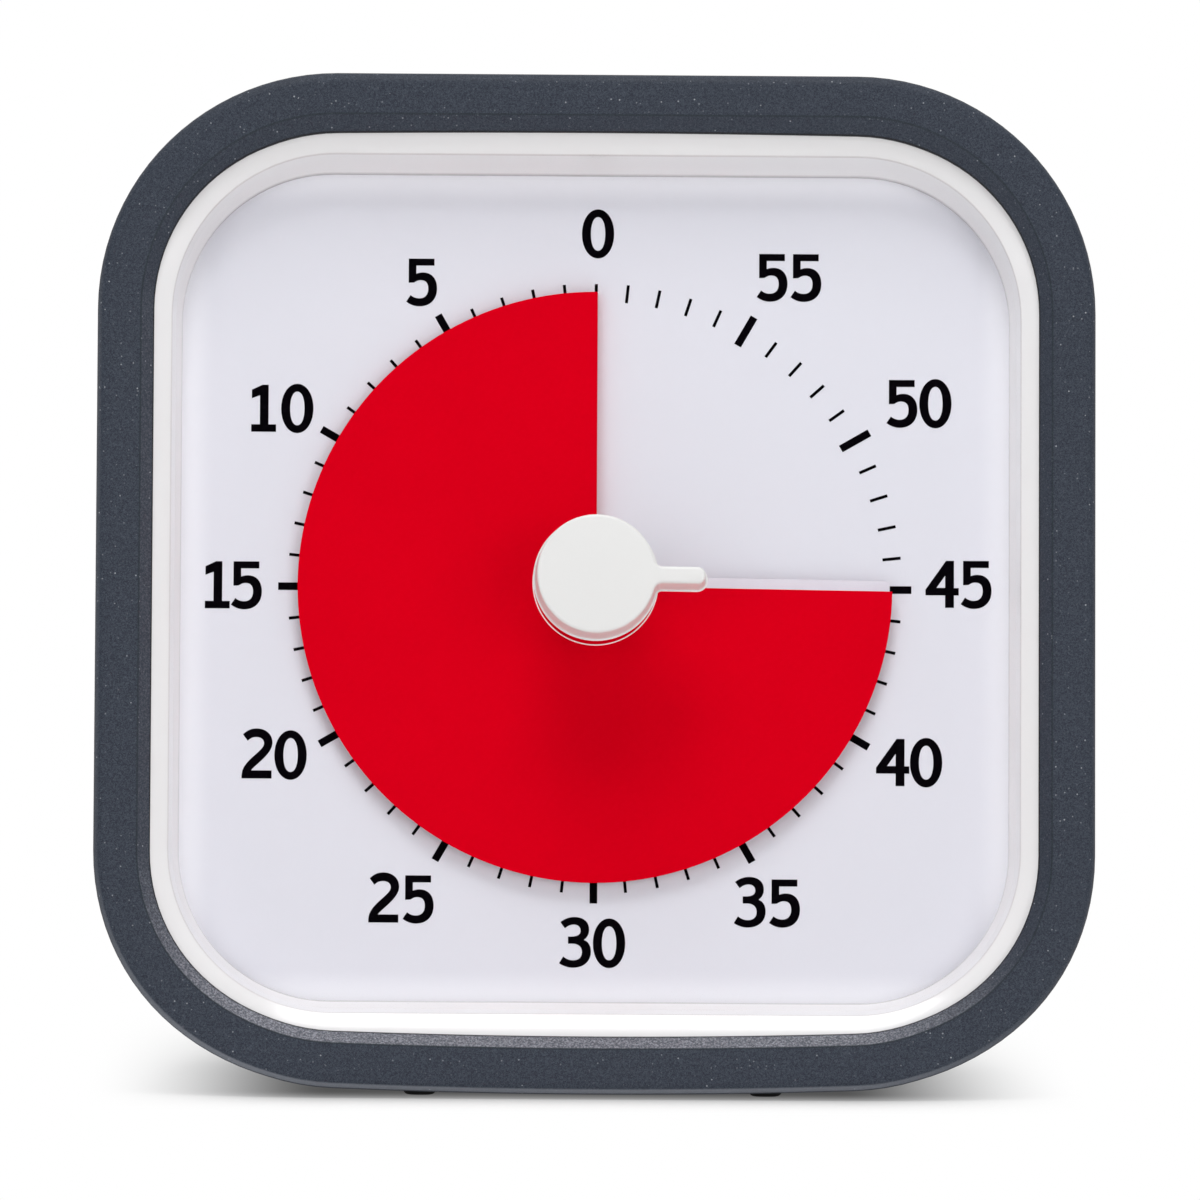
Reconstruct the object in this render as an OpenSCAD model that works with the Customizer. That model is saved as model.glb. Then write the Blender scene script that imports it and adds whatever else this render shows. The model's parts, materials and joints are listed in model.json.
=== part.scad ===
// A desk countdown timer. A tapered case in a soft sleeve leans back on its bottom wall.
// Everything but the feet is laid out in the face frame: x to the right, y up the face and
// z out of the dial, with the origin on the dial where the knob's axis crosses it.

/* [Body] */
// Width of the sleeve's front
face_w = 92; // [84:1:110]
// Height of the sleeve's front
face_h = 94.2; // [86:0.2:112]
// Corner radius of the sleeve's front
corner_r = 22; // [18:0.5:26]
// Lean of the face and draft of all four walls, in degrees
lean = 9; // [5:0.5:12]
// Depth of the case behind the dial
case_depth = 35.5; // [35:0.5:45]
// Thickness of the case walls
case_wall = 1.8; // [1.4:0.1:2.4]

/* [Sleeve] */
// Wall of the sleeve
sleeve_wall = 2.2; // [1.6:0.1:3]
// Gap between the sleeve and the case
sleeve_fit = 0.1; // [0.05:0.05:0.2]
// Thickness of the sleeve's front lip
front_lip_t = 1.4; // [1:0.1:2]
// Thickness of the sleeve's rear lip
rear_lip_t = 1.5; // [1:0.1:2]
// Width of the front lip, from the side of the sleeve to its opening
front_lip_w = 5.2; // [4.6:0.1:6]
// Width of the bevel round the opening
bevel_w = 1.2; // [0.6:0.1:1.6]
// Thickness of the front lip at its opening, below the bevel
lip_edge_t = 0.35; // [0.2:0.05:0.6]
// Width of the rear lip on the case's back
rear_lip_w = 3.4; // [2:0.1:4]
// Rounding of the front edge
front_edge_r = 1; // [0.5:0.1:1.1]
// Rounding of the rear edge
rear_edge_r = 3; // [1:0.1:3.4]

/* [Frame and window] */
// Thickness of the frame's skirt
frame_wall = 1.5; // [1.2:0.1:1.6]
// Height of the frame's rim above the dial
rim_z = 4.9; // [4.2:0.1:6]
// Width of the frame's outer slope at the sides
slope_w = 1.7; // [1.5:0.1:2.4]
// Width of the frame's outer slope at the top and bottom
slope_h = 2.15; // [1.5:0.05:2.4]
// Drop of the frame's outer slope
slope_drop = 0.9; // [0.6:0.1:1.4]
// Width of the dial that shows
window_w = 75.9; // [70:0.1:80]
// Height of the dial that shows
window_h = 76.8; // [70:0.1:80]
// Corner radius of the dial that shows
window_r = 13.9; // [10:0.1:16]
// Thickness of the frame's inner lip over the dial
inner_lip_t = 0.3; // [0.2:0.1:0.6]
// Thickness of the lens
lens_t = 1.6; // [1.2:0.1:2]
// Height of the lens above the frame's inner slope
lens_proud = 0.3; // [0.2:0.1:0.8]
// Radius of the hole in the lens
lens_hole_r = 5.75; // [5.2:0.05:6.5]

/* [Dial and disc] */
// Thickness of the dial
dial_t = 0.8; // [0.6:0.1:1.2]
// How far the dial goes under the frame's lip
dial_lap = 0.65; // [0.4:0.05:0.7]
// Radius of the dial's central hole
dial_hole_r = 5.2; // [4.6:0.1:5.5]
// Width of the slit at the top of the dial
slit_w = 0.3; // [0.3:0.05:1]
// Radius of the red disc
disc_r = 27.45; // [24:0.05:30]
// Thickness of the disc's film
film_t = 0.2; // [0.15:0.05:0.3]
// Height of the film above the dial
film_z = 1.5; // [1.2:0.1:2]
// Width of the clear strip along the film's leading edge
strip_w = 0.85; // [0.5:0.05:1.5]
// Angle of film in front of the dial at rest, 6 degrees a minute
shown_angle = 270; // [30:6:330]

/* [Knob] */
// Radius of the knob at its top
knob_r = 5.47; // [5:0.01:5.5]
// Height of the knob's head
knob_h = 4.2; // [3:0.1:5]
// Height of the knob's underside above the dial
knob_z = 7.8; // [6:0.1:9]
// How much the head widens from top to bottom
knob_flare = 0.17; // [0.05:0.01:0.25]
// Distance from the axis to the pointer's tip
pointer_reach = 9.95; // [9:0.05:11]
// Width of the pointer at its top
pointer_w = 1.56; // [1.2:0.02:2]
// Radius of the fillets between pointer and head
pointer_fillet = 0.6; // [0.4:0.05:0.9]
// Radius of the knob's hub, which passes through the lens
knob_hub_r = 4.3; // [3.6:0.1:4.6]
// Radius of the shaft
shaft_r = 1.25; // [1.1:0.05:1.5]
// Radial clearance of a shaft or pivot in its bearing
run_fit = 0.04; // [0.02:0.01:0.08]

/* [Movement] */
// Thickness of the chassis plate
chassis_t = 1.5; // [1.2:0.1:2]
// Gap between the dial and the chassis plate
chassis_gap = 2.2; // [1.8:0.1:2.6]
// Module of the two slow gear meshes
slow_module = 0.35; // [0.3:0.01:0.36]
// Module of the rotor's mesh
fast_module = 0.3; // [0.26:0.01:0.32]
// Teeth of the setting wheel
setting_teeth = 60; // [56:1:62]
// Teeth of the third wheel
third_teeth = 50; // [46:1:52]
// Teeth of the second wheel
second_teeth = 36; // [34:1:38]
// Teeth of the slow pinions
pinion_teeth = 10; // [10:1:12]
// Teeth of the rotor's pinion
rotor_teeth = 12; // [12:1:14]
// Play between meshed teeth
backlash = 0.16; // [0.1:0.01:0.2]
// Radius of the wheels' pivots
pivot_r = 0.5; // [0.4:0.05:0.6]
// Radius of the rotor's magnet
magnet_r = 2.2; // [1.8:0.1:2.4]
// Wall of the movement's cover
movement_wall = 1.2; // [0.9:0.1:1.4]
// Length of the coil
coil_l = 14; // [10:0.5:16]

/* [Battery] */
// Radius of the cell
cell_r = 7.1; // [6.9:0.05:7.25]
// Length of the cell, with its button
cell_l = 50.3; // [49:0.1:50.5]
// Length of the contact spring with the cell in place
spring_l = 6.1; // [5:0.1:6.5]
// Height of the bay's centre, up the face
bay_y = -17.5; // [-17.6:0.1:-17]
// Thickness of the battery door
door_t = 1.6; // [1.2:0.1:1.8]
// Clearance round the door
door_fit = 0.2; // [0.1:0.05:0.3]
// Angle at which the battery door stands
door_open = 0; // [0:5:45]

/* [Feet and back] */
// Height of the sleeve above the table
foot_drop = 0.65; // [0.4:0.05:1]
// Width of a foot
foot_w = 3; // [2.4:0.1:4]
// Length of a foot
foot_l = 8; // [6:0.5:9]
// Distance from the front feet to the rear feet
foot_pitch = 28; // [20:0.5:30]
// Distance between the left and right feet
foot_span = 31.8; // [26:0.2:40]
// Distance from the right edge of the board to the knob's axis
board_edge = 27; // [26:0.5:28]
// Travel of the sound switch
switch_travel = 3; // [2:0.5:4]
// Radius of the sounder
buzzer_r = 8; // [6:0.5:9]

/* [Hidden] */
$fn = 96;

// Cuts run past the faces that they open by this much
over = 1;
draft = tan(lean);
// The drafted wall's sharp edge would stand this far outside the rounded front edge
edge_overhang = front_edge_r * ((1 + sin(lean)) / cos(lean) - 1);

// Centres of the corner arcs, which every wall shares
core_x = face_w / 2 - corner_r;
core_y = face_h / 2 - corner_r;

// Heights above the dial
lip_seat_z = rim_z + sleeve_fit;
front_z = lip_seat_z + front_lip_t;
slope_z = rim_z - slope_drop;
lens_top_z = slope_z + lens_proud;
lens_low_z = lens_top_z - lens_t;
back_z = -case_depth;
sleeve_back_z = back_z - sleeve_fit - rear_lip_t;

// Radii of the corners at a height, measured from the arcs' centres
function sleeve_r(z) = corner_r + edge_overhang - (front_z - z) * draft;
function case_r(z) = sleeve_r(z) - sleeve_wall - sleeve_fit;
opening_r = corner_r - front_lip_w;
lip_overhang = 0.1;
crease_r = opening_r + lip_overhang - slope_w;
crease_w = 2 * (core_x + crease_r);
crease_h = 2 * (core_y + opening_r + lip_overhang - slope_h);

// Places of the face frame in the room
seat_z = foot_drop + (face_h / 2 + edge_overhang) * cos(lean) - front_z * sin(lean);
front_edge_y = face_h / 2 - front_edge_r;
front_reach = front_edge_y * sin(lean) + (front_z - front_edge_r) * cos(lean) + front_edge_r;
rear_edge_y = core_y + sleeve_r(sleeve_back_z) - rear_edge_r * (1 - sin(lean)) / cos(lean);
rear_reach = rear_edge_y * sin(lean) - (sleeve_back_z + rear_edge_r) * cos(lean) + rear_edge_r;
seat_y = (front_reach - rear_reach) / 2;

// Fits of the case's inner pieces
dial_fit = 0.2;
slit_play = 0.9;
chassis_fit = 0.2;
tongue_fit = 0.15;
tongue_t = 1.2;
tongue_h = 1.6;
hook_w = 5;
hook_x = 12;
hook_t = 0.9;

// Movement heights
chassis_front_z = -dial_t - chassis_gap;
chassis_back_z = chassis_front_z - chassis_t;
split_z = chassis_back_z - 3.5;
frame_inner_r = case_r(split_z) - frame_wall;
dial_edge = [window_w + 2 * dial_lap, window_h + 2 * dial_lap, window_r + dial_lap];
boss_h = 0.7;
bearing_z = chassis_back_z - boss_h;
wheel_t = 0.8;
setting_z = bearing_z - 1.8;
setting_t = 1.2;
hub_low_z = -dial_t - 0.7;
hub_r = 2.2;
hub_flange_r = 3.8;
shaft_bite = 1.7;
collar_r = 2.6;
collar_t = 0.5;
washer_h = 0.5;
ring_r = 2.3;
ring_t = 0.4;
ring_z = setting_z - washer_h - 0.05 - ring_t;
groove_r = shaft_r - 0.25;
third_z = setting_z - 2.2;
second_z = third_z - 2;
rear_bearing_z = second_z - 1.4;
floor_z = rear_bearing_z - 1.2;
movement_back_z = floor_z - movement_wall;
end_play = 0.1;
arbor_r = 0.7;
pivot_l = 0.9;
boss_r = 1.6;

// Gear layout in the face frame
slow_gap_a = slow_module * (setting_teeth + pinion_teeth) / 2;
slow_gap_b = slow_module * (third_teeth + pinion_teeth) / 2;
fast_gap = fast_module * (second_teeth + rotor_teeth) / 2;
third_dir = 150;
second_dir = 60;
rotor_dir = 0;
third_at = slow_gap_a * [cos(third_dir), sin(third_dir)];
second_at = third_at + slow_gap_b * [cos(second_dir), sin(second_dir)];
rotor_at = second_at + fast_gap * [cos(rotor_dir), sin(rotor_dir)];
// Angle of the second gear's first tooth, so that it meshes with the first gear's
function mesh_phase(phase, teeth_a, teeth_b, dir) =
    dir + 180 - (0.5 - (dir - phase) * teeth_a / 360) * 360 / teeth_b;
third_phase = mesh_phase(0, setting_teeth, pinion_teeth, third_dir);
second_phase = mesh_phase(third_phase, third_teeth, pinion_teeth, second_dir);
rotor_phase = mesh_phase(second_phase, second_teeth, rotor_teeth, rotor_dir);

// Stator and coil
stator_z = third_z + 0.9;
stator_t = 1;
stator_w = 8;
leg_w = 2;
coil_r = 2.4;
flange_r = 2.8;
flange_t = 0.6;
function tip_r(n, m) = m * n / 2 + 0.8 * m;
coil_x = tip_r(setting_teeth, slow_module) + flange_r + 0.9;
coil_y = 1;
peg_r = 0.8;
peg_fit = 0.05;
peg_at = rotor_at + [6, 1.5];

// Movement box, which clears the wheels and the coil by the same play
box_play = 0.5;
box_edge = box_play + movement_wall;
box_left = third_at[0] - tip_r(third_teeth, slow_module) - box_edge;
box_right = coil_x + flange_r + box_edge;
box_low = -tip_r(setting_teeth, slow_module) - box_edge;
box_high = second_at[1] + tip_r(second_teeth, fast_module) + box_edge;
box_w = box_right - box_left;
box_h = box_high - box_low;
box_at = [box_left + box_right, box_low + box_high] / 2;
box_r = 3;
ear_x = box_w / 2 + 2.5;
ear_r = 3;
ear_t = 1.5;

// Screws
screw_r = 1.05;
screw_fit = 0.1;
thread_fit = 0.01;
head_r = 2.2;
head_h = 1.6;
head_depth = 4;
head_fit = 0.15;
post_r = 3;
post_at = [core_x + 4.4, core_y + 4.4];
post_join_z = split_z - 1.5;
small_screw_r = 0.7;
board_screw_bite = 3;
small_head_r = 1.4;
small_head_h = 1;

// Battery bay
plate_w = 10;
plate_h = 9;
tab_w = 3;
tab_gap = 0.2;
button_r = 2.7;
button_h = 1.1;
spring_r = 4.1;
spring_tip_r = 2.2;
contact_t = 0.4;
cell_play = 0.1;
bay_fit = 0.4;
bay_wall = 1.5;
bay_l = cell_l + spring_l + 2 * (contact_t + cell_play);
bay_h = 2 * (cell_r + 0.9);
bay_floor_z = back_z + door_t + 2 * (cell_r + bay_fit);
cell_z = back_z + door_t + bay_fit + cell_r;
cell_end_x = bay_l / 2 - contact_t - cell_play;
door_ledge = 0.8;
door_w = bay_l + 2 * (door_ledge - door_fit);
door_h = bay_h + 2 * (door_ledge - door_fit);
door_low_y = bay_y - door_h / 2;
lug_r = 0.6;
lug_x = 14;
lug_l = 4;
lug_play = 0.4;
notch_w = 10;
notch_r = 1.9;
grip_w = 14;
grip_t = 0.6;
grip_d = 0.4;
grip_y = 4;
grip_pitch = 1.4;
hinge_at = [door_low_y - 0.9, back_z + door_t - lug_r];

// Switch, board and sounder
board_t = 1.2;
board_w = 25;
board_h = 16;
board_at = [board_edge - board_w / 2, 16];
board_hole = [board_w / 2 - 2.5, 4];
wall_in_z = back_z + case_wall;
switch_h = 3.6;
board_back_z = wall_in_z + switch_h + 0.2;
board_front_z = board_back_z + board_t;
switch_w = 9;
switch_d = 4.4;
nub_w = 2.6;
nub_d = 2.2;
slot_fit = 0.4;
dish_t = 0.8;
buzzer_at = [-13, 16];
buzzer_h = 4;
buzzer_fit = 0.1;
hole_pitch = 3.2;
sound_hole_r = 0.8;

// Feet, in the room's frame
foot_sink = 0.5;
foot_setback = 8.5;
case_bottom_z = foot_drop + (sleeve_wall + sleeve_fit) * cos(lean);
front_foot_y = seat_y - front_reach + foot_setback;
rear_foot_y = front_foot_y + foot_pitch;
foot_fit = 0.2;

module leaned() {
    translate([0, seat_y, seat_z]) rotate([90 - lean, 0, 0]) children();
}

module rounded_rect(w, h, r) {
    square([w - 2 * r, h], center = true);
    square([w, h - 2 * r], center = true);
    for (x = [-1, 1], y = [-1, 1])
        translate([x * (w / 2 - r), y * (h / 2 - r)]) circle(r = r);
}

module plate(w, h, r, z0, z1) {
    translate([0, 0, z0]) linear_extrude(z1 - z0) rounded_rect(w, h, r);
}

// A plate whose corners are the shared arcs at radius r
module core_plate(r, z0, z1) {
    plate(2 * (core_x + r), 2 * (core_y + r), r, z0, z1);
}

module rod(r, z0, z1, at = [0, 0]) {
    translate([at[0], at[1], z0]) cylinder(r = r, h = z1 - z0);
}

// A block with sloping sides, from radius r0 at z0 to radius r1 at z1
module drafted_block(r0, z0, r1, z1) {
    for (x = [-1, 1], y = [-1, 1])
        translate([x * core_x, y * core_y, z0]) cylinder(r1 = r0, r2 = r1, h = z1 - z0);
    translate([0, core_y, 0]) rotate([90, 0, 0]) linear_extrude(2 * core_y)
        polygon([[-core_x - r0, z0], [core_x + r0, z0], [core_x + r1, z1], [-core_x - r1, z1]]);
    translate([-core_x, 0, 0]) rotate([90, 0, 90]) linear_extrude(2 * core_x)
        polygon([[-core_y - r0, z0], [core_y + r0, z0], [core_y + r1, z1], [-core_y - r1, z1]]);
}

// A profile of radius and height, carried round the four corners and along the four sides
module ring_sweep() {
    for (i = [0:3])
        translate([(i == 0 || i == 3 ? 1 : -1) * core_x, (i < 2 ? 1 : -1) * core_y, 0])
            rotate(90 * i) rotate_extrude(angle = 90) children();
    for (m = [0, 1]) mirror([m, 0, 0])
        translate([core_x, core_y, 0]) rotate([90, 0, 0]) linear_extrude(2 * core_y) children();
    for (m = [0, 1]) mirror([0, m, 0])
        translate([-core_x, core_y, 0]) rotate([90, 0, 90]) linear_extrude(2 * core_x) children();
}

// Places that repeat
module at_posts() {
    for (x = [-1, 1], y = [-1, 1]) translate([x * post_at[0], y * post_at[1], 0]) children();
}

module at_pivots() {
    for (at = [third_at, second_at, rotor_at]) translate([at[0], at[1], 0]) children();
}

module at_ears() {
    for (x = [-1, 1]) translate([box_at[0] + x * ear_x, box_at[1], 0]) children();
}

module at_board_holes() {
    for (x = [-1, 1])
        translate([board_at[0] + x * board_hole[0], board_at[1] + board_hole[1], 0]) children();
}

// An outline that runs straight between two rounded ends
module slot_2d(w, l) {
    square([w, l - w], center = true);
    for (y = [-1, 1]) translate([0, y * (l - w) / 2]) circle(r = w / 2);
}

module foot_prisms(extra, z0, z1) {
    for (x = [-1, 1], y = [front_foot_y, rear_foot_y])
        translate([x * foot_span / 2, y, z0]) linear_extrude(z1 - z0)
            slot_2d(foot_w + 2 * extra, foot_l + 2 * extra);
}

// Gears with straight-sided approximations of involute teeth
function involute(a) = tan(a) * 180 / PI - a;
function half_tooth(r, n, m) =
    let (pitch_r = m * n / 2, base_r = pitch_r * cos(20), a = acos(min(1, base_r / r)))
    90 / n - backlash / 4 / pitch_r * 180 / PI + involute(20) - involute(a);
function tooth_points(n, m, i) =
    let (pitch_r = m * n / 2, root_r = pitch_r - 1.25 * m, tip_r = pitch_r + 0.8 * m,
         a = 360 * i / n, root_half = 0.75 * half_tooth(root_r, n, m),
         mid_half = half_tooth(pitch_r, n, m), tip_half = half_tooth(tip_r, n, m))
    [for (p = [[root_r, -root_half], [pitch_r, -mid_half], [tip_r, -tip_half],
               [tip_r, tip_half], [pitch_r, mid_half], [root_r, root_half]])
        p[0] * [cos(a + p[1]), sin(a + p[1])]];
function gear_points(n, m) = [for (i = [0:n - 1]) each tooth_points(n, m, i)];

module gear(n, m, z0, z1, phase) {
    translate([0, 0, z0]) rotate(phase) linear_extrude(z1 - z0) polygon(gear_points(n, m));
}

module sleeve_profile() {
    front_c = [corner_r - front_edge_r, front_z - front_edge_r];
    rear_c = [sleeve_r(sleeve_back_z) - rear_edge_r * (1 - sin(lean)) / cos(lean),
              sleeve_back_z + rear_edge_r];
    wall_normal = [cos(lean), -sin(lean)];
    rear_lip_r = case_r(back_z) - rear_lip_w;
    difference() {
        union() {
            polygon([[opening_r, lip_seat_z], [opening_r, lip_seat_z + lip_edge_t],
                     [opening_r + bevel_w, front_z], [front_c[0], front_z],
                     front_c + front_edge_r * wall_normal, rear_c + rear_edge_r * wall_normal,
                     [rear_c[0], sleeve_back_z], [rear_lip_r, sleeve_back_z],
                     [rear_lip_r, back_z]]);
            translate(front_c) circle(r = front_edge_r);
            translate(rear_c) circle(r = rear_edge_r);
        }
        polygon([[case_r(lip_seat_z) + sleeve_fit, lip_seat_z],
                 [case_r(back_z - sleeve_fit) + sleeve_fit, back_z - sleeve_fit],
                 [rear_lip_r - over, back_z - sleeve_fit], [rear_lip_r - over, lip_seat_z]]);
    }
}

module silicone_cover() {
    color([0.18, 0.21, 0.25]) difference() {
        leaned() ring_sweep() sleeve_profile();
        foot_prisms(foot_fit, -over, case_bottom_z + foot_sink);
    }
}

// The window's wall, from the inner lip up to the outer slope
module window_cut(gap, z0, z1) {
    wall_h = slope_z - inner_lip_t;
    low = (z0 - inner_lip_t) / wall_h;
    high = (z1 - inner_lip_t) / wall_h;
    hull() for (s = [[low, z0], [high, z1]]) {
        w = window_w + s[0] * (crease_w - window_w) - 2 * gap;
        h = window_h + s[0] * (crease_h - window_h) - 2 * gap;
        r = window_r + s[0] * (crease_r - window_r) - gap;
        plate(w, h, r, s[1] - 0.0005, s[1] + 0.0005);
    }
}

module front_frame() {
    seat = 2 * dial_fit * [1, 1, 0.5];
    color([0.93, 0.93, 0.93]) difference() {
        leaned() {
            difference() {
                drafted_block(case_r(split_z), split_z, case_r(rim_z), rim_z);
                hull() {
                    plate(crease_w, crease_h, crease_r, slope_z, slope_z + 0.001);
                    core_plate(opening_r + lip_overhang, rim_z, rim_z + over);
                }
                window_cut(0, inner_lip_t, slope_z + 0.001);
                plate(window_w, window_h, window_r, -over, inner_lip_t + 0.001);
                plate(dial_edge[0] + seat[0], dial_edge[1] + seat[1], dial_edge[2] + seat[2],
                      chassis_front_z - over, 0);
                core_plate(frame_inner_r, split_z - over, chassis_front_z);
            }
            // Hooks that hold the chassis
            for (a = [0, 180], x = [-hook_x, hook_x]) rotate(a)
                translate([x - hook_w / 2, core_y + frame_inner_r - 1, chassis_back_z - 1])
                    cube([hook_w, 1.5, hook_t]);
        }
        foot_prisms(foot_fit / 2, -over, case_bottom_z + foot_sink);
    }
}

module lens() {
    color([0.9, 0.95, 1, 0.25]) leaned() difference() {
        window_cut(0.05, lens_low_z, lens_top_z);
        rod(lens_hole_r, -over, lens_top_z + over);
    }
}

module dial() {
    color([0.89, 0.89, 0.92]) leaned() difference() {
        plate(dial_edge[0], dial_edge[1], dial_edge[2], -dial_t, 0);
        rod(dial_hole_r, -dial_t - over, over);
        translate([-slit_w / 2, 0, -dial_t - over])
            cube([slit_w, disc_r + slit_play, dial_t + 2 * over]);
    }
}

// A sheet between two angles, from one radius to another
module film_sector(inner_r, from, angle, z) {
    rotate([0, 0, from]) rotate_extrude(angle = angle)
        translate([inner_r, z]) square([disc_r - inner_r, film_t]);
}

module time_disc() {
    rear_film_z = -dial_t - 0.8 - film_t;
    rear_r = dial_hole_r + 0.3;
    color([0.85, 0, 0.1]) leaned() {
        film_sector(shaft_r + run_fit, 90, shown_angle, film_z);
        rotate(shown_angle + 90) translate([rear_r, -0.01, film_z])
            cube([disc_r - rear_r - 0.2, strip_w, film_t]);
        film_sector(rear_r, shown_angle - 270, 362 - shown_angle, rear_film_z);
        translate([-film_t / 2, rear_r + 0.1, rear_film_z])
            cube([film_t, disc_r - rear_r - 0.3, film_z + film_t - rear_film_z]);
    }
}

module knob() {
    tip_r = pointer_w / 2;
    low_tip_r = tip_r + knob_flare;
    tip_x = pointer_reach - tip_r;
    // The fillets bite a little, so that they meet the head and pointer at an angle
    bite = 0.03;
    fillet_y = tip_r + pointer_fillet - bite;
    fillet_x = sqrt(pow(knob_r + pointer_fillet - bite, 2) - pow(fillet_y, 2));
    color([0.93, 0.93, 0.92]) leaned() rotate(shown_angle + 90) difference() {
        union() {
            translate([0, 0, knob_z]) {
                cylinder(r1 = knob_r + knob_flare, r2 = knob_r, h = knob_h);
                translate([tip_x, 0, 0]) cylinder(r1 = low_tip_r, r2 = tip_r, h = knob_h);
                rotate([90, 0, 90]) linear_extrude(tip_x)
                    polygon([[-low_tip_r, 0], [low_tip_r, 0], [tip_r, knob_h], [-tip_r, knob_h]]);
                for (m = [0, 1]) mirror([0, m, 0]) difference() {
                    linear_extrude(knob_h)
                        polygon([[0, 0], [fillet_x, 0], [fillet_x, fillet_y],
                                 0.8 * [fillet_x, fillet_y]]);
                    translate([fillet_x, fillet_y, -over])
                        cylinder(r = pointer_fillet, h = knob_h + 2 * over);
                }
            }
            rod(knob_hub_r, film_z + film_t, knob_z + 0.5);
        }
        rod(shaft_r + 0.01, film_z, knob_z + shaft_bite + 0.1);
    }
}

module knob_shaft() {
    color("silver") leaned() difference() {
        union() {
            rod(shaft_r, floor_z + 0.4, knob_z + shaft_bite);
            rod(collar_r, setting_z + setting_t, setting_z + setting_t + collar_t);
        }
        difference() {
            rod(shaft_r + over, ring_z - 0.05, ring_z + ring_t + 0.05);
            rod(groove_r, ring_z - 0.15, ring_z + ring_t + 0.15);
        }
    }
}

module disc_hub() {
    color("white") leaned() difference() {
        union() {
            rod(hub_r, hub_low_z, film_z - 0.9);
            rod(hub_flange_r, film_z - 1, film_z);
        }
        rod(shaft_r + 0.01, hub_low_z - over, film_z + over);
    }
}

module setting_wheel() {
    color("wheat") leaned() difference() {
        union() {
            gear(setting_teeth, slow_module, setting_z + 0.2, setting_z + setting_t - 0.2, 0);
            rod(3.5, setting_z, setting_z + setting_t);
        }
        rod(shaft_r + run_fit, setting_z - over, setting_z + setting_t + over);
        for (a = [0:60:300]) rotate(a)
            rod(1.6, setting_z - over, setting_z + setting_t + over, [6.4, 0]);
    }
}

module friction_washer() {
    bore_r = shaft_r + run_fit;
    sheet_t = washer_h / 2;
    color("silver") leaned() translate([0, 0, setting_z - washer_h]) rotate_extrude()
        polygon([[bore_r, 0], [2, 0], [3.4, sheet_t], [3.4, washer_h], [3, washer_h],
                 [2, sheet_t], [bore_r, sheet_t]]);
}

module retaining_ring() {
    gap_w = 1.6;
    color("dimgray") leaned() difference() {
        rod(ring_r, ring_z, ring_z + ring_t);
        rod(groove_r + 0.02, ring_z - over, ring_z + ring_t + over);
        translate([-gap_w / 2, -ring_r - over, ring_z - over])
            cube([gap_w, ring_r + over, ring_t + 2 * over]);
    }
}

// An arbor with a pivot at each end, between the chassis and the movement's cover
module arbor() {
    rod(arbor_r, rear_bearing_z + end_play, bearing_z - end_play);
    rod(pivot_r, rear_bearing_z - pivot_l, bearing_z + pivot_l);
}

module third_wheel() {
    color("wheat") leaned() translate([third_at[0], third_at[1], 0]) {
        arbor();
        gear(pinion_teeth, slow_module, setting_z - 0.4, setting_z + setting_t + 0.3, third_phase);
        gear(third_teeth, slow_module, third_z, third_z + wheel_t, third_phase);
        rod(1.3, third_z, setting_z - 0.4);
    }
}

module second_wheel() {
    color("wheat") leaned() translate([second_at[0], second_at[1], 0]) {
        arbor();
        gear(pinion_teeth, slow_module, third_z - 0.4, third_z + wheel_t + 0.4, second_phase);
        gear(second_teeth, fast_module, second_z, second_z + wheel_t, second_phase);
        rod(1.2, second_z, third_z - 0.4);
    }
}

module rotor() {
    color("gray") leaned() translate([rotor_at[0], rotor_at[1], 0]) {
        arbor();
        gear(rotor_teeth, fast_module, second_z - 0.4, second_z + wheel_t + 0.4, rotor_phase);
        rod(magnet_r, third_z + 0.4, third_z + 2.4);
        rod(1.1, second_z, third_z + 0.4);
    }
}

module stator() {
    left_x = rotor_at[0] - 4;
    end = 2;
    color("silver") leaned() difference() {
        union() {
            translate([left_x, rotor_at[1] - stator_w / 2, stator_z])
                cube([coil_x + leg_w / 2 - left_x, stator_w, stator_t]);
            translate([coil_x - leg_w / 2, coil_y - coil_l / 2 - end, stator_z])
                cube([leg_w, rotor_at[1] - coil_y + coil_l / 2 + end, stator_t]);
        }
        rod(magnet_r + 0.5, stator_z - over, stator_z + stator_t + over, rotor_at);
        rod(peg_r + peg_fit, stator_z - over, stator_z + stator_t + over, peg_at);
    }
}

module coil() {
    coil_low_y = coil_y - coil_l / 2;
    leg_fit = 0.02;
    module turn(r, y0, l) {
        translate([coil_x, y0 + l, stator_z + stator_t / 2]) rotate([90, 0, 0])
            cylinder(r = r, h = l);
    }
    color([0.72, 0.4, 0.2]) leaned() difference() {
        union() {
            turn(coil_r, coil_low_y, coil_l);
            for (y = [coil_low_y, coil_low_y + coil_l - flange_t]) turn(flange_r, y, flange_t);
        }
        translate([coil_x - leg_w / 2 - leg_fit, coil_low_y - over, stator_z - leg_fit])
            cube([leg_w + 2 * leg_fit, coil_l + 2 * over, stator_t + 2 * leg_fit]);
    }
}

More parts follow.
